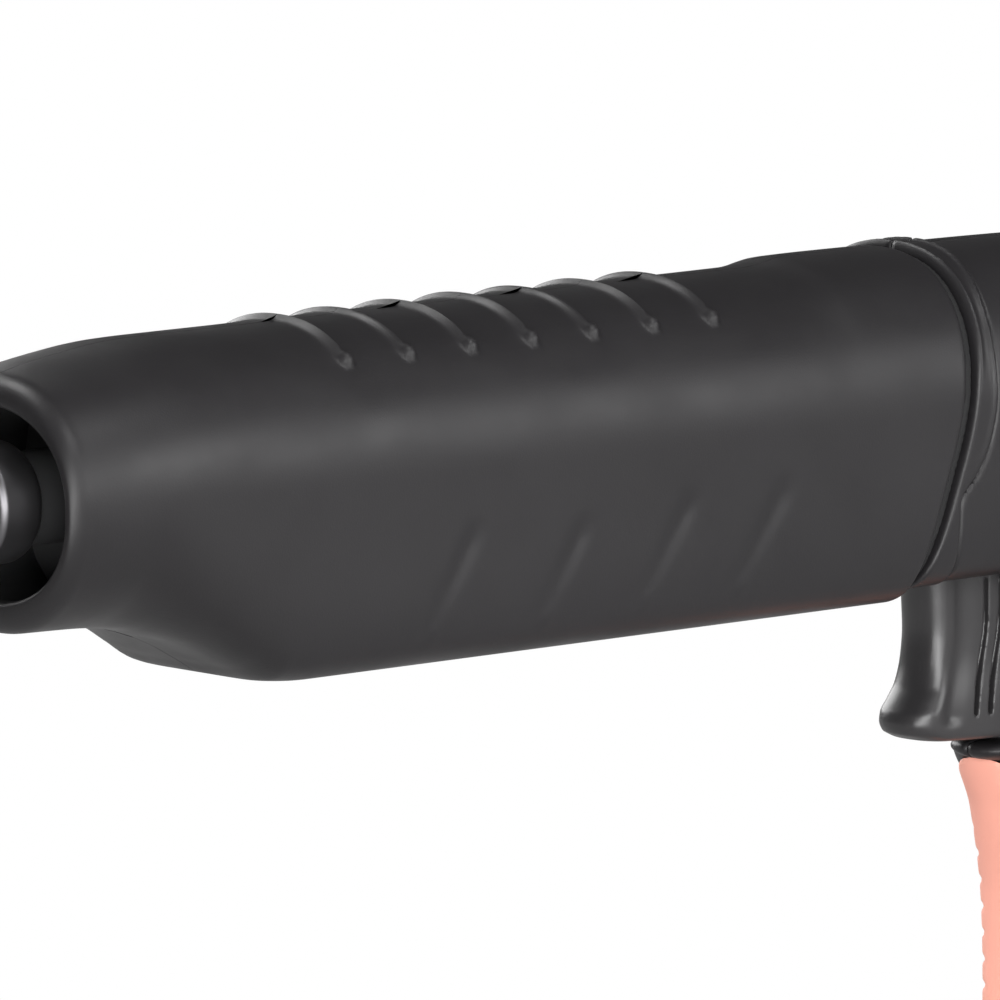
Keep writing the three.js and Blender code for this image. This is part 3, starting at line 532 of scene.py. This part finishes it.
def nets(f, lo, hi, s, fine=None):
    """Closed quad mesh of f = 0 on a regular grid, with its points moved on to the surface."""
    n = [0, 0, 0]
    ax = []
    for k in range(3):
        if fine is not None and fine[k] is not None:
            a, b, q = fine[k]
            ax.append(np.unique(np.concatenate([np.arange(lo[k], a, s), np.arange(a, b, q), np.arange(b, hi[k] + s, s)])))
        else:
            ax.append(np.arange(lo[k], hi[k] + s, s))
        n[k] = len(ax[k])
    X, Y, Z = np.meshgrid(*ax, indexing="ij")
    V = f(X, Y, Z)
    inside = V < 0
    nx, ny, nz = n
    cells = (nx - 1, ny - 1, nz - 1)
    acc = np.zeros(cells + (3,))
    cnt = np.zeros(cells)
    corner = [(i, j, k) for i in (0, 1) for j in (0, 1) for k in (0, 1)]

    def sub(a, c):
        return a[c[0]:c[0] + cells[0], c[1]:c[1] + cells[1], c[2]:c[2] + cells[2]]
    for c0 in corner:
        for axis in range(3):
            if c0[axis] == 1:
                continue
            c1 = list(c0)
            c1[axis] = 1
            v0, v1 = sub(V, c0), sub(V, c1)
            cross = (v0 < 0) != (v1 < 0)
            t = np.where(cross, v0 / np.where(cross, v0 - v1, 1), 0)
            for k in range(3):
                acc[..., k] += np.where(cross, c0[k] + (t if k == axis else 0), 0)
            cnt += cross
    mask = cnt > 0
    idx = -np.ones(cells, int)
    idx[mask] = np.arange(mask.sum())
    pos = np.argwhere(mask) + acc[mask] / cnt[mask][:, None]
    P = np.stack([np.interp(pos[:, k], np.arange(n[k]), ax[k]) for k in range(3)], 1)
    least = min([s] + [q[2] for q in (fine or []) if q is not None])
    quads = []
    for axis in range(3):
        a0 = [slice(0, m) for m in n]
        a1 = list(a0)
        a0[axis] = slice(0, n[axis] - 1)
        a1[axis] = slice(1, n[axis])
        c = inside[tuple(a0)] != inside[tuple(a1)]
        e = np.argwhere(c)
        u, w = (axis + 1) % 3, (axis + 2) % 3
        ok = (e[:, u] > 0) & (e[:, w] > 0) & (e[:, u] < n[u] - 1) & (e[:, w] < n[w] - 1)
        e = e[ok]
        flip = inside[tuple(a0)][tuple(e.T)]
        q = []
        for du, dw in ((-1, -1), (0, -1), (0, 0), (-1, 0)):
            g = e.copy()
            g[:, u] += du
            g[:, w] += dw
            q.append(idx[tuple(g.T)])
        q = np.stack(q, 1)
        q[~flip] = q[~flip][:, ::-1]
        quads.append(q)
    F = np.concatenate(quads)
    eps = 0.02
    for _ in range(3):
        v = f(P[:, 0], P[:, 1], P[:, 2])
        g = np.stack([(f(P[:, 0] + eps, P[:, 1], P[:, 2]) - v) / eps, (f(P[:, 0], P[:, 1] + eps, P[:, 2]) - v) / eps, (f(P[:, 0], P[:, 1], P[:, 2] + eps) - v) / eps], 1)
        g2 = (g ** 2).sum(1)
        stepv = np.clip(v / np.maximum(g2, 0.05), -0.4 * least, 0.4 * least)
        P = P - g * stepv[:, None]
    return P, F


def radial(y, z, w, h, n):
    """Rough distance to a superellipse of half sizes w, h."""
    q = (np.abs(y / w) ** n + np.abs(z / h) ** n) ** (1 / n)
    rho = np.sqrt(y * y + z * z)
    return np.where(q > 1e-6, rho * (1 - 1 / np.maximum(q, 1e-6)), -np.minimum(w, h))


def body_rear(X, Y, Z, t=0.0):
    up_ = radial(Y, Z, half_width(X) - t, TOP(X) - t, NT)
    dn = radial(Y, Z, half_width(X) - t, -BOT_REAR(X) - t, 7.0)
    return np.where(Z >= 0, up_, dn)


GRIP_F = hermite([(-150, 258), (-126, 259.8), (-104, 259.0), (-84, 255.8), (-76, 252.6), (-70, 250.4), (-56, 250.4), (-22, 252)])
GRIP_B = hermite([(-150, 307), (-126, 305.4), (-104, 303), (-84, 300), (-70, 297.5), (-56, 296), (-22, 294)])
GRIP_W = hermite([(-150, 18.2), (-126, 17.2), (-104, 16.5), (-84, 16.6), (-70, 17), (-56, 17), (-22, 16)])


def grip_d(X, Y, Z, t=0.0):
    f, b, w = GRIP_F(Z), GRIP_B(Z), GRIP_W(Z)
    return radial(X - (f + b) / 2, Y, (b - f) / 2 - t, w - t, 2.5)


CREASE = hermite([(-60, 219.3), (-33.9, 219.3), (-18.0, 219.4), (-16.2, 219.9), (-11.3, 224.2), (-5.9, 227.2), (1.6, 228.8), (9.4, 229.0), (17.3, 229.6), (25, 231.4), (30, 233.5)])
PAD_EDGE = hermite([(-160, 240), (-147, 268), (-144, 273), (-138, 279), (-118, 283), (-92, 280.2), (-80, 273), (-77, 268), (-60, 240)])


def pad_zone(X, Z):
    """Positive outside the soft pad's outline in side view."""
    a = X - PAD_EDGE(Z)
    b = smax(-146.0 - Z, Z + 70.4 + np.clip(X - 249, 0, 9) * 0.62 + (X - 240) * 0.05, 3.0)
    return smax(a, b, 2.5)


def rear_shape(X, Y, Z):
    outer = body_rear(X, Y, Z)
    # raised collar behind the joint, its two ridges and the panel line
    q = X - CREASE(Z)
    g = X - (SEAM(Z) + 2.4)
    on = step(Z, -40, -33)
    line = np.exp(-(q / 0.42) ** 2)
    h = 0.55 * (1 - step(q, -0.6, 0.3)) * on
    h = h - 0.75 * line * step(Z, -37, -34)
    h = h + 0.5 * np.exp(-((q + 1.15) / 0.6) ** 2) * step(Z, -14, 4)
    h = h + 0.45 * np.exp(-((g - 0.9) / 0.6) ** 2) * step(Z, 4, 16)
    outer = outer - h * step(np.abs(outer), 6, 1)
    outer = smax(outer, (SEAM(Z) + 2.4) - X, 1.0)
    outer = smax(outer, X - 299.0, 0.8)
    grip = grip_d(X, Y, Z)
    pz = pad_zone(X, Z)
    core = smin(grip_d(X, Y, Z, 2.5), smax(grip, -(pz - 0.3), 0.7), 0.2)
    grip = smax(core, -150.0 - Z, 2.5)
    grip = smax(grip, Z + 14.0, 1.0)
    lump = np.sqrt(((X - 251.5) / 4.4) ** 2 + (Y / 7.4) ** 2 + ((Z + 70.5) / 2.2) ** 2) - 1
    lump = lump * 3.0
    s = smin(outer, grip, 9.0)
    s = smin(s, lump, 1.5)
    return s


def rear_inner(X, Y, Z):
    b = smax(body_rear(X, Y, Z, WALL), X - 320.0, 1.0)
    gt = np.where((Z < -74) & (Z > -148), 5.2, 3.0)
    g = smax(grip_d(X, Y, Z, 5.0), -146.8 - Z, 1.0)
    g = smax(g, Z + 6.0, 1.0)
    return smin(b, g, 3.0)


def rear_half_d(side):
    def f(X, Y, Z):
        y = Y
        s = rear_shape(X, y, Z)
        s = smax(s, -rear_inner(X, y, Z), 0.4)
        for bx, bz, by in ((234, 16.5, 18.1), (288, -24, 20.4)):
            c = np.hypot(X - bx, Z - bz) - 3.6
            c = np.maximum(np.maximum(c, np.abs(y) - 21.5), body_rear(X, Y, Z) + 0.5)
            s = np.minimum(s, c)
            hole = np.hypot(X - bx, Z - bz)
            if side > 0:
                s = smax(s, -np.maximum(hole - 1.9, -y - 30), 0.3)
                s = smax(s, -np.maximum(hole - 4.0, by - y), 0.5)
            else:
                s = smax(s, -np.maximum(hole - 1.9, -y - 14), 0.3)
        hole = np.hypot(X - 296, Z + 128)
        s = np.minimum(s, np.maximum(hole - 3.2, np.abs(y) - 13.6))
        if side > 0:
            s = smax(s, -(hole - 1.8), 0.3)
            s = smax(s, -np.maximum(hole - 3.4, 12.4 - y), 0.5)
        else:
            s = smax(s, -np.maximum(hole - 1.8, -10 - y), 0.3)
        # bosses for the trigger pin
        bb = np.maximum(np.maximum(np.abs(X - 247) - 4, np.abs(np.abs(y) - 10.7) - 2.3), np.maximum(-33 - Z, Z + 25.6))
        s = np.minimum(s, bb)
        # trigger opening
        slot = smax(smax(np.abs(y) - 8.2, X - 254.5, 1.6), smax(-69.0 - Z, Z + 20.0, 1.6), 1.6)
        slot = np.maximum(slot, 222 - X)
        s = smax(s, -slot, 1.2)
        s = smax(s, -np.maximum(np.hypot(X - 247, Z + 29.6) - 1.9, np.abs(y) - 11.4), 0.2)
        s = smax(s, -smax(np.hypot(X - 281, y) - 12.5, Z + 138, 0.3), 0.8)
        # parting plane with a softened edge
        s = smax(s, 0.15 - y * side, 0.6)
        return s
    return f


def rear_half(side, name, node):
    lo = [202.0, -30.0 if side < 0 else -1.5, -153.0]
    hi = [309.5, 1.5 if side < 0 else 30.0, 32.5]
    P, F = nets(rear_half_d(side), lo, hi, 0.85, ((206, 236, 0.36), None, None))
    # faces on the inner wall take the black inside plastic: painted shade inside the housing
    c = P[F].mean(1)
    inner = rear_inner(c[:, 0], c[:, 1], c[:, 2])
    fm = (inner < 0.35).astype(int)
    return make(name, P, F, None, "root", (node,), mats=["housing", "inside"], face_mats=fm, sharp=48)


rear_near = rear_half(-1, "rear_housing_left_skin", "rear_housing_left")
rear_far = rear_half(1, "rear_housing_right_skin", "rear_housing_right")


# soft pad on the front of the grip
def pad_d(X, Y, Z):
    g = grip_d(X, Y, Z, 0.0) - 0.25
    ang = np.abs(Y)
    groove = (0.5 + 0.5 * np.cos((Z + 0.18 * (X - 262)) * 2 * math.pi / 5.2)) ** 6
    zone = step(ang, 7, 12) * step(X, 256.5, 261) * (1 - step(X, 272, 276)) * step(Z, -141, -136) * (1 - step(Z, -92, -86))
    g = g + 0.8 * groove * zone
    s = smax(g, pad_zone(X, Z), 1.6)
    return smax(s, -grip_d(X, Y, Z, 2.2), 0.3)


P, F = nets(pad_d, [246, -20, -150], [288, 20, -72], 0.7)
pad = make("grip_pad", P, F, "orange", "root", ("grip_front_pad",), sharp=60)

# ------------------------------------------------------------------ trigger
TR_FRONT = hermite([(-70, 232), (-66.6, 230.0), (-65.4, 228.3), (-63.6, 227.5), (-61.8, 227.8), (-59.6, 229.4), (-56.5, 231.4), (-52, 232.6), (-46, 233.2), (-40, 232.9), (-34, 232.5), (-24, 232.4)])


def trigger_d(X, Y, Z):
    y = np.abs(Y)
    w = 6.4 + 0.9 * step(-Z, 50, 62)
    # the finger face is rounded right across, a hollow runs down each corner behind it
    front = TR_FRONT(Z) + 2.6 * (y / 7.0) ** 2.2
    a = front - X
    s = smax(a, y - w, 3.0)
    s = s + 0.75 * np.exp(-((X - (240.2 - 3.6 * step(-Z, 44, 64))) / 2.3) ** 2) * step(y, 4.5, 6.5) * (1 - step(-Z, 62, 65))
    s = smax(s, X - (251.6 - 0.05 * (Z + 44)), 1.2)
    low = -67.4 + 0.05 * (242 - X)
    s = smax(s, low - Z, 1.6)
    s = smax(s, Z + 25.6 + 0.35 * np.clip(240 - X, 0, 9), 1.5)
    # side slots
    for x0 in (246.4, 250.2):
        cx = x0 - 3.4 * step(-Z, 42, 63) ** 1.2
        c = np.hypot((X - cx), np.clip(np.abs(Z + 49.5) - 12.6, 0, None))
        s = smax(s, -np.maximum(c - 0.62, 5.2 - y), 0.3)
    # pin bore, hollow inside
    s = smax(s, -(np.hypot(X - 247, Z + 29.6) - 2.0), 0.2)
    hollow = smax(smax(y - 4.6, 238.6 - X, 1.0), smax(-62.0 - Z, np.where(Z > -36, X - 262, X - 248.6), 1.0), 1.0)
    s = smax(s, -hollow, 0.6)
    return s


P, F = nets(trigger_d, [224, -9.5, -70], [255, 9.5, -23], 0.5, ((240, 252.5, 0.25), None, None))
trigger = make("trigger_lever", P, F, "trigger", "trigger", ("trigger",), sharp=48)


# ------------------------------------------------------------------ turned pieces
def round_profile(pts, r=0.5, n=4, keep=()):
    """Profile with its corners rounded; pts are (x, r) pairs of a closed or axis-ended outline."""
    out = []
    m = len(pts)
    for i, p in enumerate(pts):
        p = np.array(p, float)
        if (i in (0, m - 1)) or i in keep or p[1] < 1e-6:
            out.append(tuple(p))
            continue
        a, b = np.array(pts[i - 1], float), np.array(pts[i + 1], float)
        la, lb = np.linalg.norm(a - p), np.linalg.norm(b - p)
        k = min(r, la * 0.45, lb * 0.45)
        s0, s1 = p + (a - p) / la * k, p + (b - p) / lb * k
        for t in np.linspace(0, 1, n):
            out.append(tuple((1 - t) ** 2 * s0 + 2 * t * (1 - t) * p + t ** 2 * s1))
    return out


def turned(name, pts, mat, body, nodes=(), seg=96, axis="x", at=(0, 0, 0), r=0.4, closed=False, wobble=None, frame_m=None, sharp=35, mats=None, face_mat=None):
    """Body of revolution about X (or Y or Z): outline of (along, radius)."""
    prof = round_profile(pts, r) if not closed else round_profile([*pts], r)
    n = len(prof)
    ang = np.linspace(0, 2 * math.pi, seg, endpoint=False)
    prof = np.array(prof)
    V = np.zeros((seg, n, 3))
    for i, a in enumerate(ang):
        rad = prof[:, 1].copy()
        if wobble is not None:
            rad = wobble(prof[:, 0], rad, a)
        V[i, :, 0] = prof[:, 0]
        V[i, :, 1] = rad * math.cos(a)
        V[i, :, 2] = rad * math.sin(a)
    faces, fm = [], []
    for i in range(seg):
        k = (i + 1) % seg
        for j in range(n - 1 if not closed else n):
            l = (j + 1) % n
            f = (i * n + j, k * n + j, k * n + l, i * n + l)
            faces.append(f)
            fm.append(0 if face_mat is None else face_mat((prof[j, 0] + prof[l, 0]) / 2, (prof[j, 1] + prof[l, 1]) / 2))
    V = V.reshape(-1, 3)
    if axis == "y":
        V = V[:, [1, 0, 2]] * np.array([1, 1, 1])
    if axis == "z":
        V = V[:, [1, 2, 0]]
    if frame_m is not None:
        V = V @ frame_m[0].T + frame_m[1]
    else:
        V = V + np.asarray(at, float)
    return make(name, V, faces, mat, body, nodes, sharp=sharp, mats=mats, face_mats=fm)


b40 = math.radians(40.0)
BEND = np.array([-46 - 42 * math.sin(b40), 0, -42 * (1 - math.cos(b40))])
# nozzle frame: local +X runs back towards the handle
NOZ = (np.array([[math.cos(b40), 0, -math.sin(b40)], [0, 1, 0], [math.sin(b40), 0, math.cos(b40)]]), BEND)


def flutes(count, depth, lo, hi, sharpness=1.0):
    def f(x, r, a):
        k = (0.5 + 0.5 * math.cos(a * count)) ** sharpness
        on = step(x, lo, lo + 0.8) * (1 - step(x, hi - 0.8, hi))
        return np.where(r > 4, r - depth * k * on, r)
    return f


turned("gas_nozzle_body", [(-15.5, 9.6), (-15.5, 11.4), (-17, 12), (-54, 12), (-60, 10.7), (-67, 10.2), (-67, 8.5), (-62, 8.5), (-56, 9.6)], "copper", "nozzle", ("gas_nozzle",), frame_m=NOZ, closed=True, r=0.7, seg=120,
       wobble=lambda x, r, a: np.where((r > 11.5) & (x > -22.5) & (x < -18), r - 0.0, r))
turned("nozzle_ring", [(-4.4, 8.3), (-4.4, 10.4), (-6, 11.2), (-15, 11.2), (-15, 9.2), (-26, 9.2), (-26, 8.3)], "black", "neck", ("nozzle_insulator",), frame_m=NOZ, closed=True, r=0.5, seg=96)
turned("diffuser_body", [(-12.4, 2.2), (-12.4, 7.6), (-26.4, 7.6), (-27.4, 6.8), (-34, 6.0), (-34, 2.2)], "brass", "neck", ("gas_diffuser",), frame_m=NOZ, closed=True, r=0.4, seg=72)
turned("contact_tip_body", [(-34.4, 0.7), (-34.4, 4.2), (-40, 4.2), (-41, 3.9), (-58, 3.4), (-59.5, 2.6), (-59.5, 0.7)], "tip", "neck", ("contact_tip",), frame_m=NOZ, closed=True, r=0.3, seg=64)


def neck():
    seg, R0, R1 = 64, 8.0, 5.0
    path = []
    for x in np.linspace(5.6, -46, 14):
        path.append((np.array([x, 0, 0]), 0.0))
    for i in range(1, 25):
        a = b40 * i / 24
        path.append((np.array([-46 - 42 * math.sin(a), 0, -42 * (1 - math.cos(a))]), a))
    for s in np.linspace(0, 12, 5)[1:]:
        path.append((BEND + np.array([-math.cos(b40), 0, -math.sin(b40)]) * s, b40))
    V, F = [], []
    rings = []
    for R in (R0, R1):
        seq = path if R == R0 else path[::-1]
        for c, a in seq:
            t = np.linspace(0, 2 * math.pi, seg, endpoint=False)
            q = R * np.sin(t)
            ring = np.stack([c[0] - q * math.sin(a), R * np.cos(t), c[2] + q * math.cos(a)], 1)
            rings.append(ring)
    n = len(rings)
    for i in range(n):
        k = (i + 1) % n
        for j in range(seg):
            F.append((i * seg + j, i * seg + (j + 1) % seg, k * seg + (j + 1) % seg, k * seg + j))
    make("neck_barrel", np.concatenate(rings), F, "neck", "neck", ("neck_tube",), sharp=40)


neck()
turned("neck_sleeve_body", [(-44, 8.3), (-44, 10.2), (-42.6, 11), (-38, 11), (-37.2, 10.5), (-36, 10.5), (-35.2, 11), (-23, 11), (-22, 10), (-22, 8.3)], "black", "neck", ("neck_sleeve",), closed=True, r=0.5)
turned("neck_nut_body", [(-20, 8.3), (-20, 10.2), (-18.8, 11.2), (-6.4, 11.2), (-5.6, 10.5), (-4.2, 10.5), (-3.4, 11.2), (4.4, 11.2), (5.8, 10.1), (5.8, 8.3)], "neck", "nut", ("neck_nut",), closed=True, r=0.8, seg=144,
       wobble=flutes(24, 0.55, -18.4, -6.8, 2.0))
# the socket's front part, up to x 29.6, takes the black inside plastic instead of brass: painted shade deep in the nose
turned("neck_socket_body", [(6.3, 2.6), (6.3, 8.6), (26, 8.6), (26, 12), (29.5, 12), (29.5, 6.4), (62, 6.4), (62, 2.6)], "brass", "root", ("neck_socket",), closed=True, r=0.5, seg=64,
       mats=["inside", "brass"], face_mat=lambda x, r: 0 if x < 29.6 else 1)
turned("cable_gland_body", [(-178, 9), (-178, 11), (-160, 11), (-159.4, 12), (-157, 12), (-157, 15.2), (-152.4, 15.2), (-152.4, 12), (-141, 12), (-141, 9)], "black", "root", ("cable_gland",), axis="z", at=(281, 0, 0), closed=True, r=0.5)
turned("gland_nut_body", [(-184, 11.5), (-184, 13.2), (-183, 13.9), (-176.4, 14.2), (-175.6, 15.0), (-162, 15.0), (-161, 14.2), (-161, 11.5)], "black", "root", ("gland_nut",), axis="z", at=(281, 0, 0), closed=True, r=0.7, seg=144,
       wobble=lambda x, r, a: np.where(r > 13, r - 0.9 * (0.5 + 0.5 * math.cos(a * 12)) ** 3 * step(x, -176, -175) * (1 - step(x, -163, -161.6)), r))

def knob(name, node, body, axis, at, r0, y0, y1, count, bore, bore_to):
    pts = [(y0, bore), (y0, r0 - 1.6), (y0 + 1.4, r0 - 1.2), (y0 + 1.8, r0), (y1 - 1.2, r0 - 0.2), (y1, r0 - 1.6), (y1, 3.2), (y1 - 0.5, 2.6), (y1 - 0.5, 0.0), (bore_to, 0.0), (bore_to, bore)]
    return turned(name, pts, "black", body, (node,), axis=axis, at=at, r=0.5, seg=168, closed=True,
                  wobble=lambda x, r, a: np.where(r > r0 - 1.0, r - 0.6 * (0.5 + 0.5 * math.cos(a * count)) ** 2, r))


knob("tension_knob_body", "tension_knob", "tension", "y", (82, 0, 12), 8.6, 27.7, 35.0, 14, 2.9, 31.4)
knob("speed_knob_body", "speed_knob", "speed_knob", "x", (0, 0, 6), 8.4, 305.9, 314.5, 14, 3.3, 309.7)


# screws: pan head with a six-lobe style socket
def screw(name, node, x, z, head_y, tip_y, r_head=3.4):
    pts = [(tip_y, 0), (tip_y, 1.0), (tip_y + 0.6, 1.5), (head_y - 2, 1.5), (head_y - 2, r_head), (head_y - 0.6, r_head), (head_y, r_head - 0.8), (head_y, 1.5), (head_y - 1.2, 1.3), (head_y - 1.2, 0)]
    turned(name, pts, "steel", "root", (node,), axis="y", at=(x, 0, z), r=0.35, seg=48,
           wobble=lambda y, r, a: np.where((r > 1.0) & (r < 1.7) & (y > head_y - 1.25), r * (1 + 0.14 * math.cos(6 * a)), r))


for i, (x, z) in enumerate([(50, 14.5), (150, 15), (208, 16)]):
    screw(f"body_screw_{i + 1}_pan", f"body_screw_{i + 1}", x, z, 20.4, -8)
for i, (x, z, y) in enumerate([(234, 16.5, 20.4), (288, -24, 22.7)]):
    screw(f"rear_screw_{i + 1}_pan", f"rear_screw_{i + 1}", x, z, y, -8)
screw("grip_screw_pan", "grip_screw", 296, -128, 15, -7, 3.1)


# seal in the joint between the housings
def gasket_d(X, Y, Z):
    s = np.where(Z >= 0, radial(Y, Z, 27 - 0.9, TOP(X) - 0.9, NT), radial(Y, Z, 27 - 0.9, 36.4 - 2.6, 7.0))
    s = smax(s, -np.where(Z >= 0, radial(Y, Z, 27 - WALL, TOP(X) - WALL, NT), radial(Y, Z, 27 - WALL, 36.4 - 2.6 - WALL + 0.9, 7.0)), 0.2)
    e = SEAM(Z)
    s = smax(s, e + 0.4 - X, 0.3)
    return smax(s, X - e - 2.0, 0.3)


P, F = nets(gasket_d, [200, -28, -37], [228, 28, 31], 0.55)
make("seam_seal", P, F, "seal", "root", ("seam_gasket",), sharp=50)


# rear cap
def cap_d(X, Y, Z):
    s = body_rear(np.full_like(X, 299.5), Y, Z) + 0.15
    dome = np.sqrt(np.clip(1 - (Y / 40.0) ** 2 - ((Z + 2) / 44.0) ** 2, 0, 1))
    s = smax(s, X - (299.0 + 6.4 * dome), 3.4)
    s = smax(s, 299.3 - X, 0.3)
    ring = np.abs(np.hypot(Y, Z - 6) - 11.0) - 0.35
    s = smax(s, -np.maximum(ring, 304.5 - X), 0.4)
    s = smax(s, -(np.hypot(Y, Z - 6) - 4.2), 0.5)
    return smax(s, -grip_d(X, Y, Z, -0.3), 0.4)


P, F = nets(cap_d, [297, -27, -33], [308.5, 27, 28], 0.8)
make("rear_cap_body", P, F, "black", "root", ("rear_cap",), sharp=50)

# ------------------------------------------------------------------ carried-over CAD nodes
for s in frame["record"]["subparts"]:
    o = frame["nodes"][s["node"]]
    m = M[SLOT_MAT[s["material_slot"]]]
    o.data.materials.clear()
    o.data.materials.append(m)
# the nose bulkhead takes the black inside plastic: painted shade behind the nose opening
for name in ("nose_bulkhead",):
    frame["nodes"][name].data.materials.clear()
    frame["nodes"][name].data.materials.append(M["inside"])
for name, o in frame["nodes"].items():
    if o.get("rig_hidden") or o.hide_render:
        continue
    bev = o.modifiers.new("edge", "BEVEL")
    bev.width = 0.00025
    bev.segments = 2
    bev.limit_method = "ANGLE"
    bev.angle_limit = math.radians(35)

# ------------------------------------------------------------------ stage
floor_me = bpy.data.meshes.new("floor")
fz = float(cad_box[0][2]) - 0.001
floor_me.from_pydata([(-12, -12, fz), (12, -12, fz), (12, 12, fz), (-12, 12, fz)], [], [(0, 1, 2, 3)])
floor = bpy.data.objects.new("floor", floor_me)
bpy.context.scene.collection.objects.link(floor)
fm_, nt_, b_ = new_mat("pale_floor")
b_.inputs["Base Color"].default_value = (0.42, 0.42, 0.42, 1)
b_.inputs["Roughness"].default_value = 0.95
b_.inputs["Specular IOR Level"].default_value = 0.1
glow = nt_.nodes.new("ShaderNodeEmission")
glow.inputs["Color"].default_value = (1, 1, 1, 1)
glow.inputs["Strength"].default_value = 1.0
seen = nt_.nodes.new("ShaderNodeLightPath")
pick = nt_.nodes.new("ShaderNodeMixShader")
nt_.links.new(seen.outputs["Is Camera Ray"], pick.inputs[0])
nt_.links.new(b_.outputs[0], pick.inputs[1])
nt_.links.new(glow.outputs[0], pick.inputs[2])
for n in nt_.nodes:
    if n.type == "OUTPUT_MATERIAL":
        nt_.links.new(pick.outputs[0], n.inputs[0])
floor_me.materials.append(fm_)

world = bpy.data.worlds.new("world")
bpy.context.scene.world = world
world.use_nodes = True
wt = world.node_tree
for n in list(wt.nodes):
    wt.nodes.remove(n)
wo = wt.nodes.new("ShaderNodeOutputWorld")
bg_cam = wt.nodes.new("ShaderNodeBackground")
bg_cam.inputs[0].default_value = (1, 1, 1, 1)
bg_cam.inputs[1].default_value = 1.0
bg_env = wt.nodes.new("ShaderNodeBackground")
bg_env.inputs[0].default_value = (1, 1, 1, 1)
bg_env.inputs[1].default_value = 0.3
bg_gl = wt.nodes.new("ShaderNodeBackground")
bg_gl.inputs[0].default_value = (1, 1, 1, 1)
bg_gl.inputs[1].default_value = 0.06
lp = wt.nodes.new("ShaderNodeLightPath")
m1 = wt.nodes.new("ShaderNodeMixShader")
m2 = wt.nodes.new("ShaderNodeMixShader")
wt.links.new(lp.outputs["Is Glossy Ray"], m1.inputs[0])
wt.links.new(bg_env.outputs[0], m1.inputs[1])
wt.links.new(bg_gl.outputs[0], m1.inputs[2])
wt.links.new(lp.outputs["Is Camera Ray"], m2.inputs[0])
wt.links.new(m1.outputs[0], m2.inputs[1])
wt.links.new(bg_cam.outputs[0], m2.inputs[2])
wt.links.new(m2.outputs[0], wo.inputs[0])


def area(name, loc, target, size, power, size_y=None):
    d = bpy.data.lights.new(name, "AREA")
    d.energy = power
    d.size = size
    if size_y:
        d.shape = "RECTANGLE"
        d.size_y = size_y
    o = bpy.data.objects.new(name, d)
    bpy.context.scene.collection.objects.link(o)
    o.location = Vector(row(loc))
    o.rotation_euler = (Vector(row(target)) - Vector(row(loc))).to_track_quat("-Z", "Y").to_euler()
    o.visible_camera = False
    return o


# soft box in front of the nose at the housing's height, a weaker one along the side, a low fill behind
area("key", (-500, -1500, 250), (60, 0, 0), 1.1, 26, 0.7)
area("side", (900, -1300, 380), (150, 0, 0), 1.0, 11, 0.6)
area("far_fill", (300, 1600, 500), (150, 0, -40), 1.2, 18, 0.8)
area("overhead", (-20, 1000, 1650), (120, 0, 20), 0.9, 17, 0.6)
area("nose", (380, -1100, 1500), (30, 0, 10), 0.7, 12, 0.5)
area("low_front", (-900, -900, -120), (270, 0, -90), 0.9, 14, 0.25)

bpy.context.scene.view_settings.view_transform = "Standard"
bpy.context.scene.view_settings.look = "None"
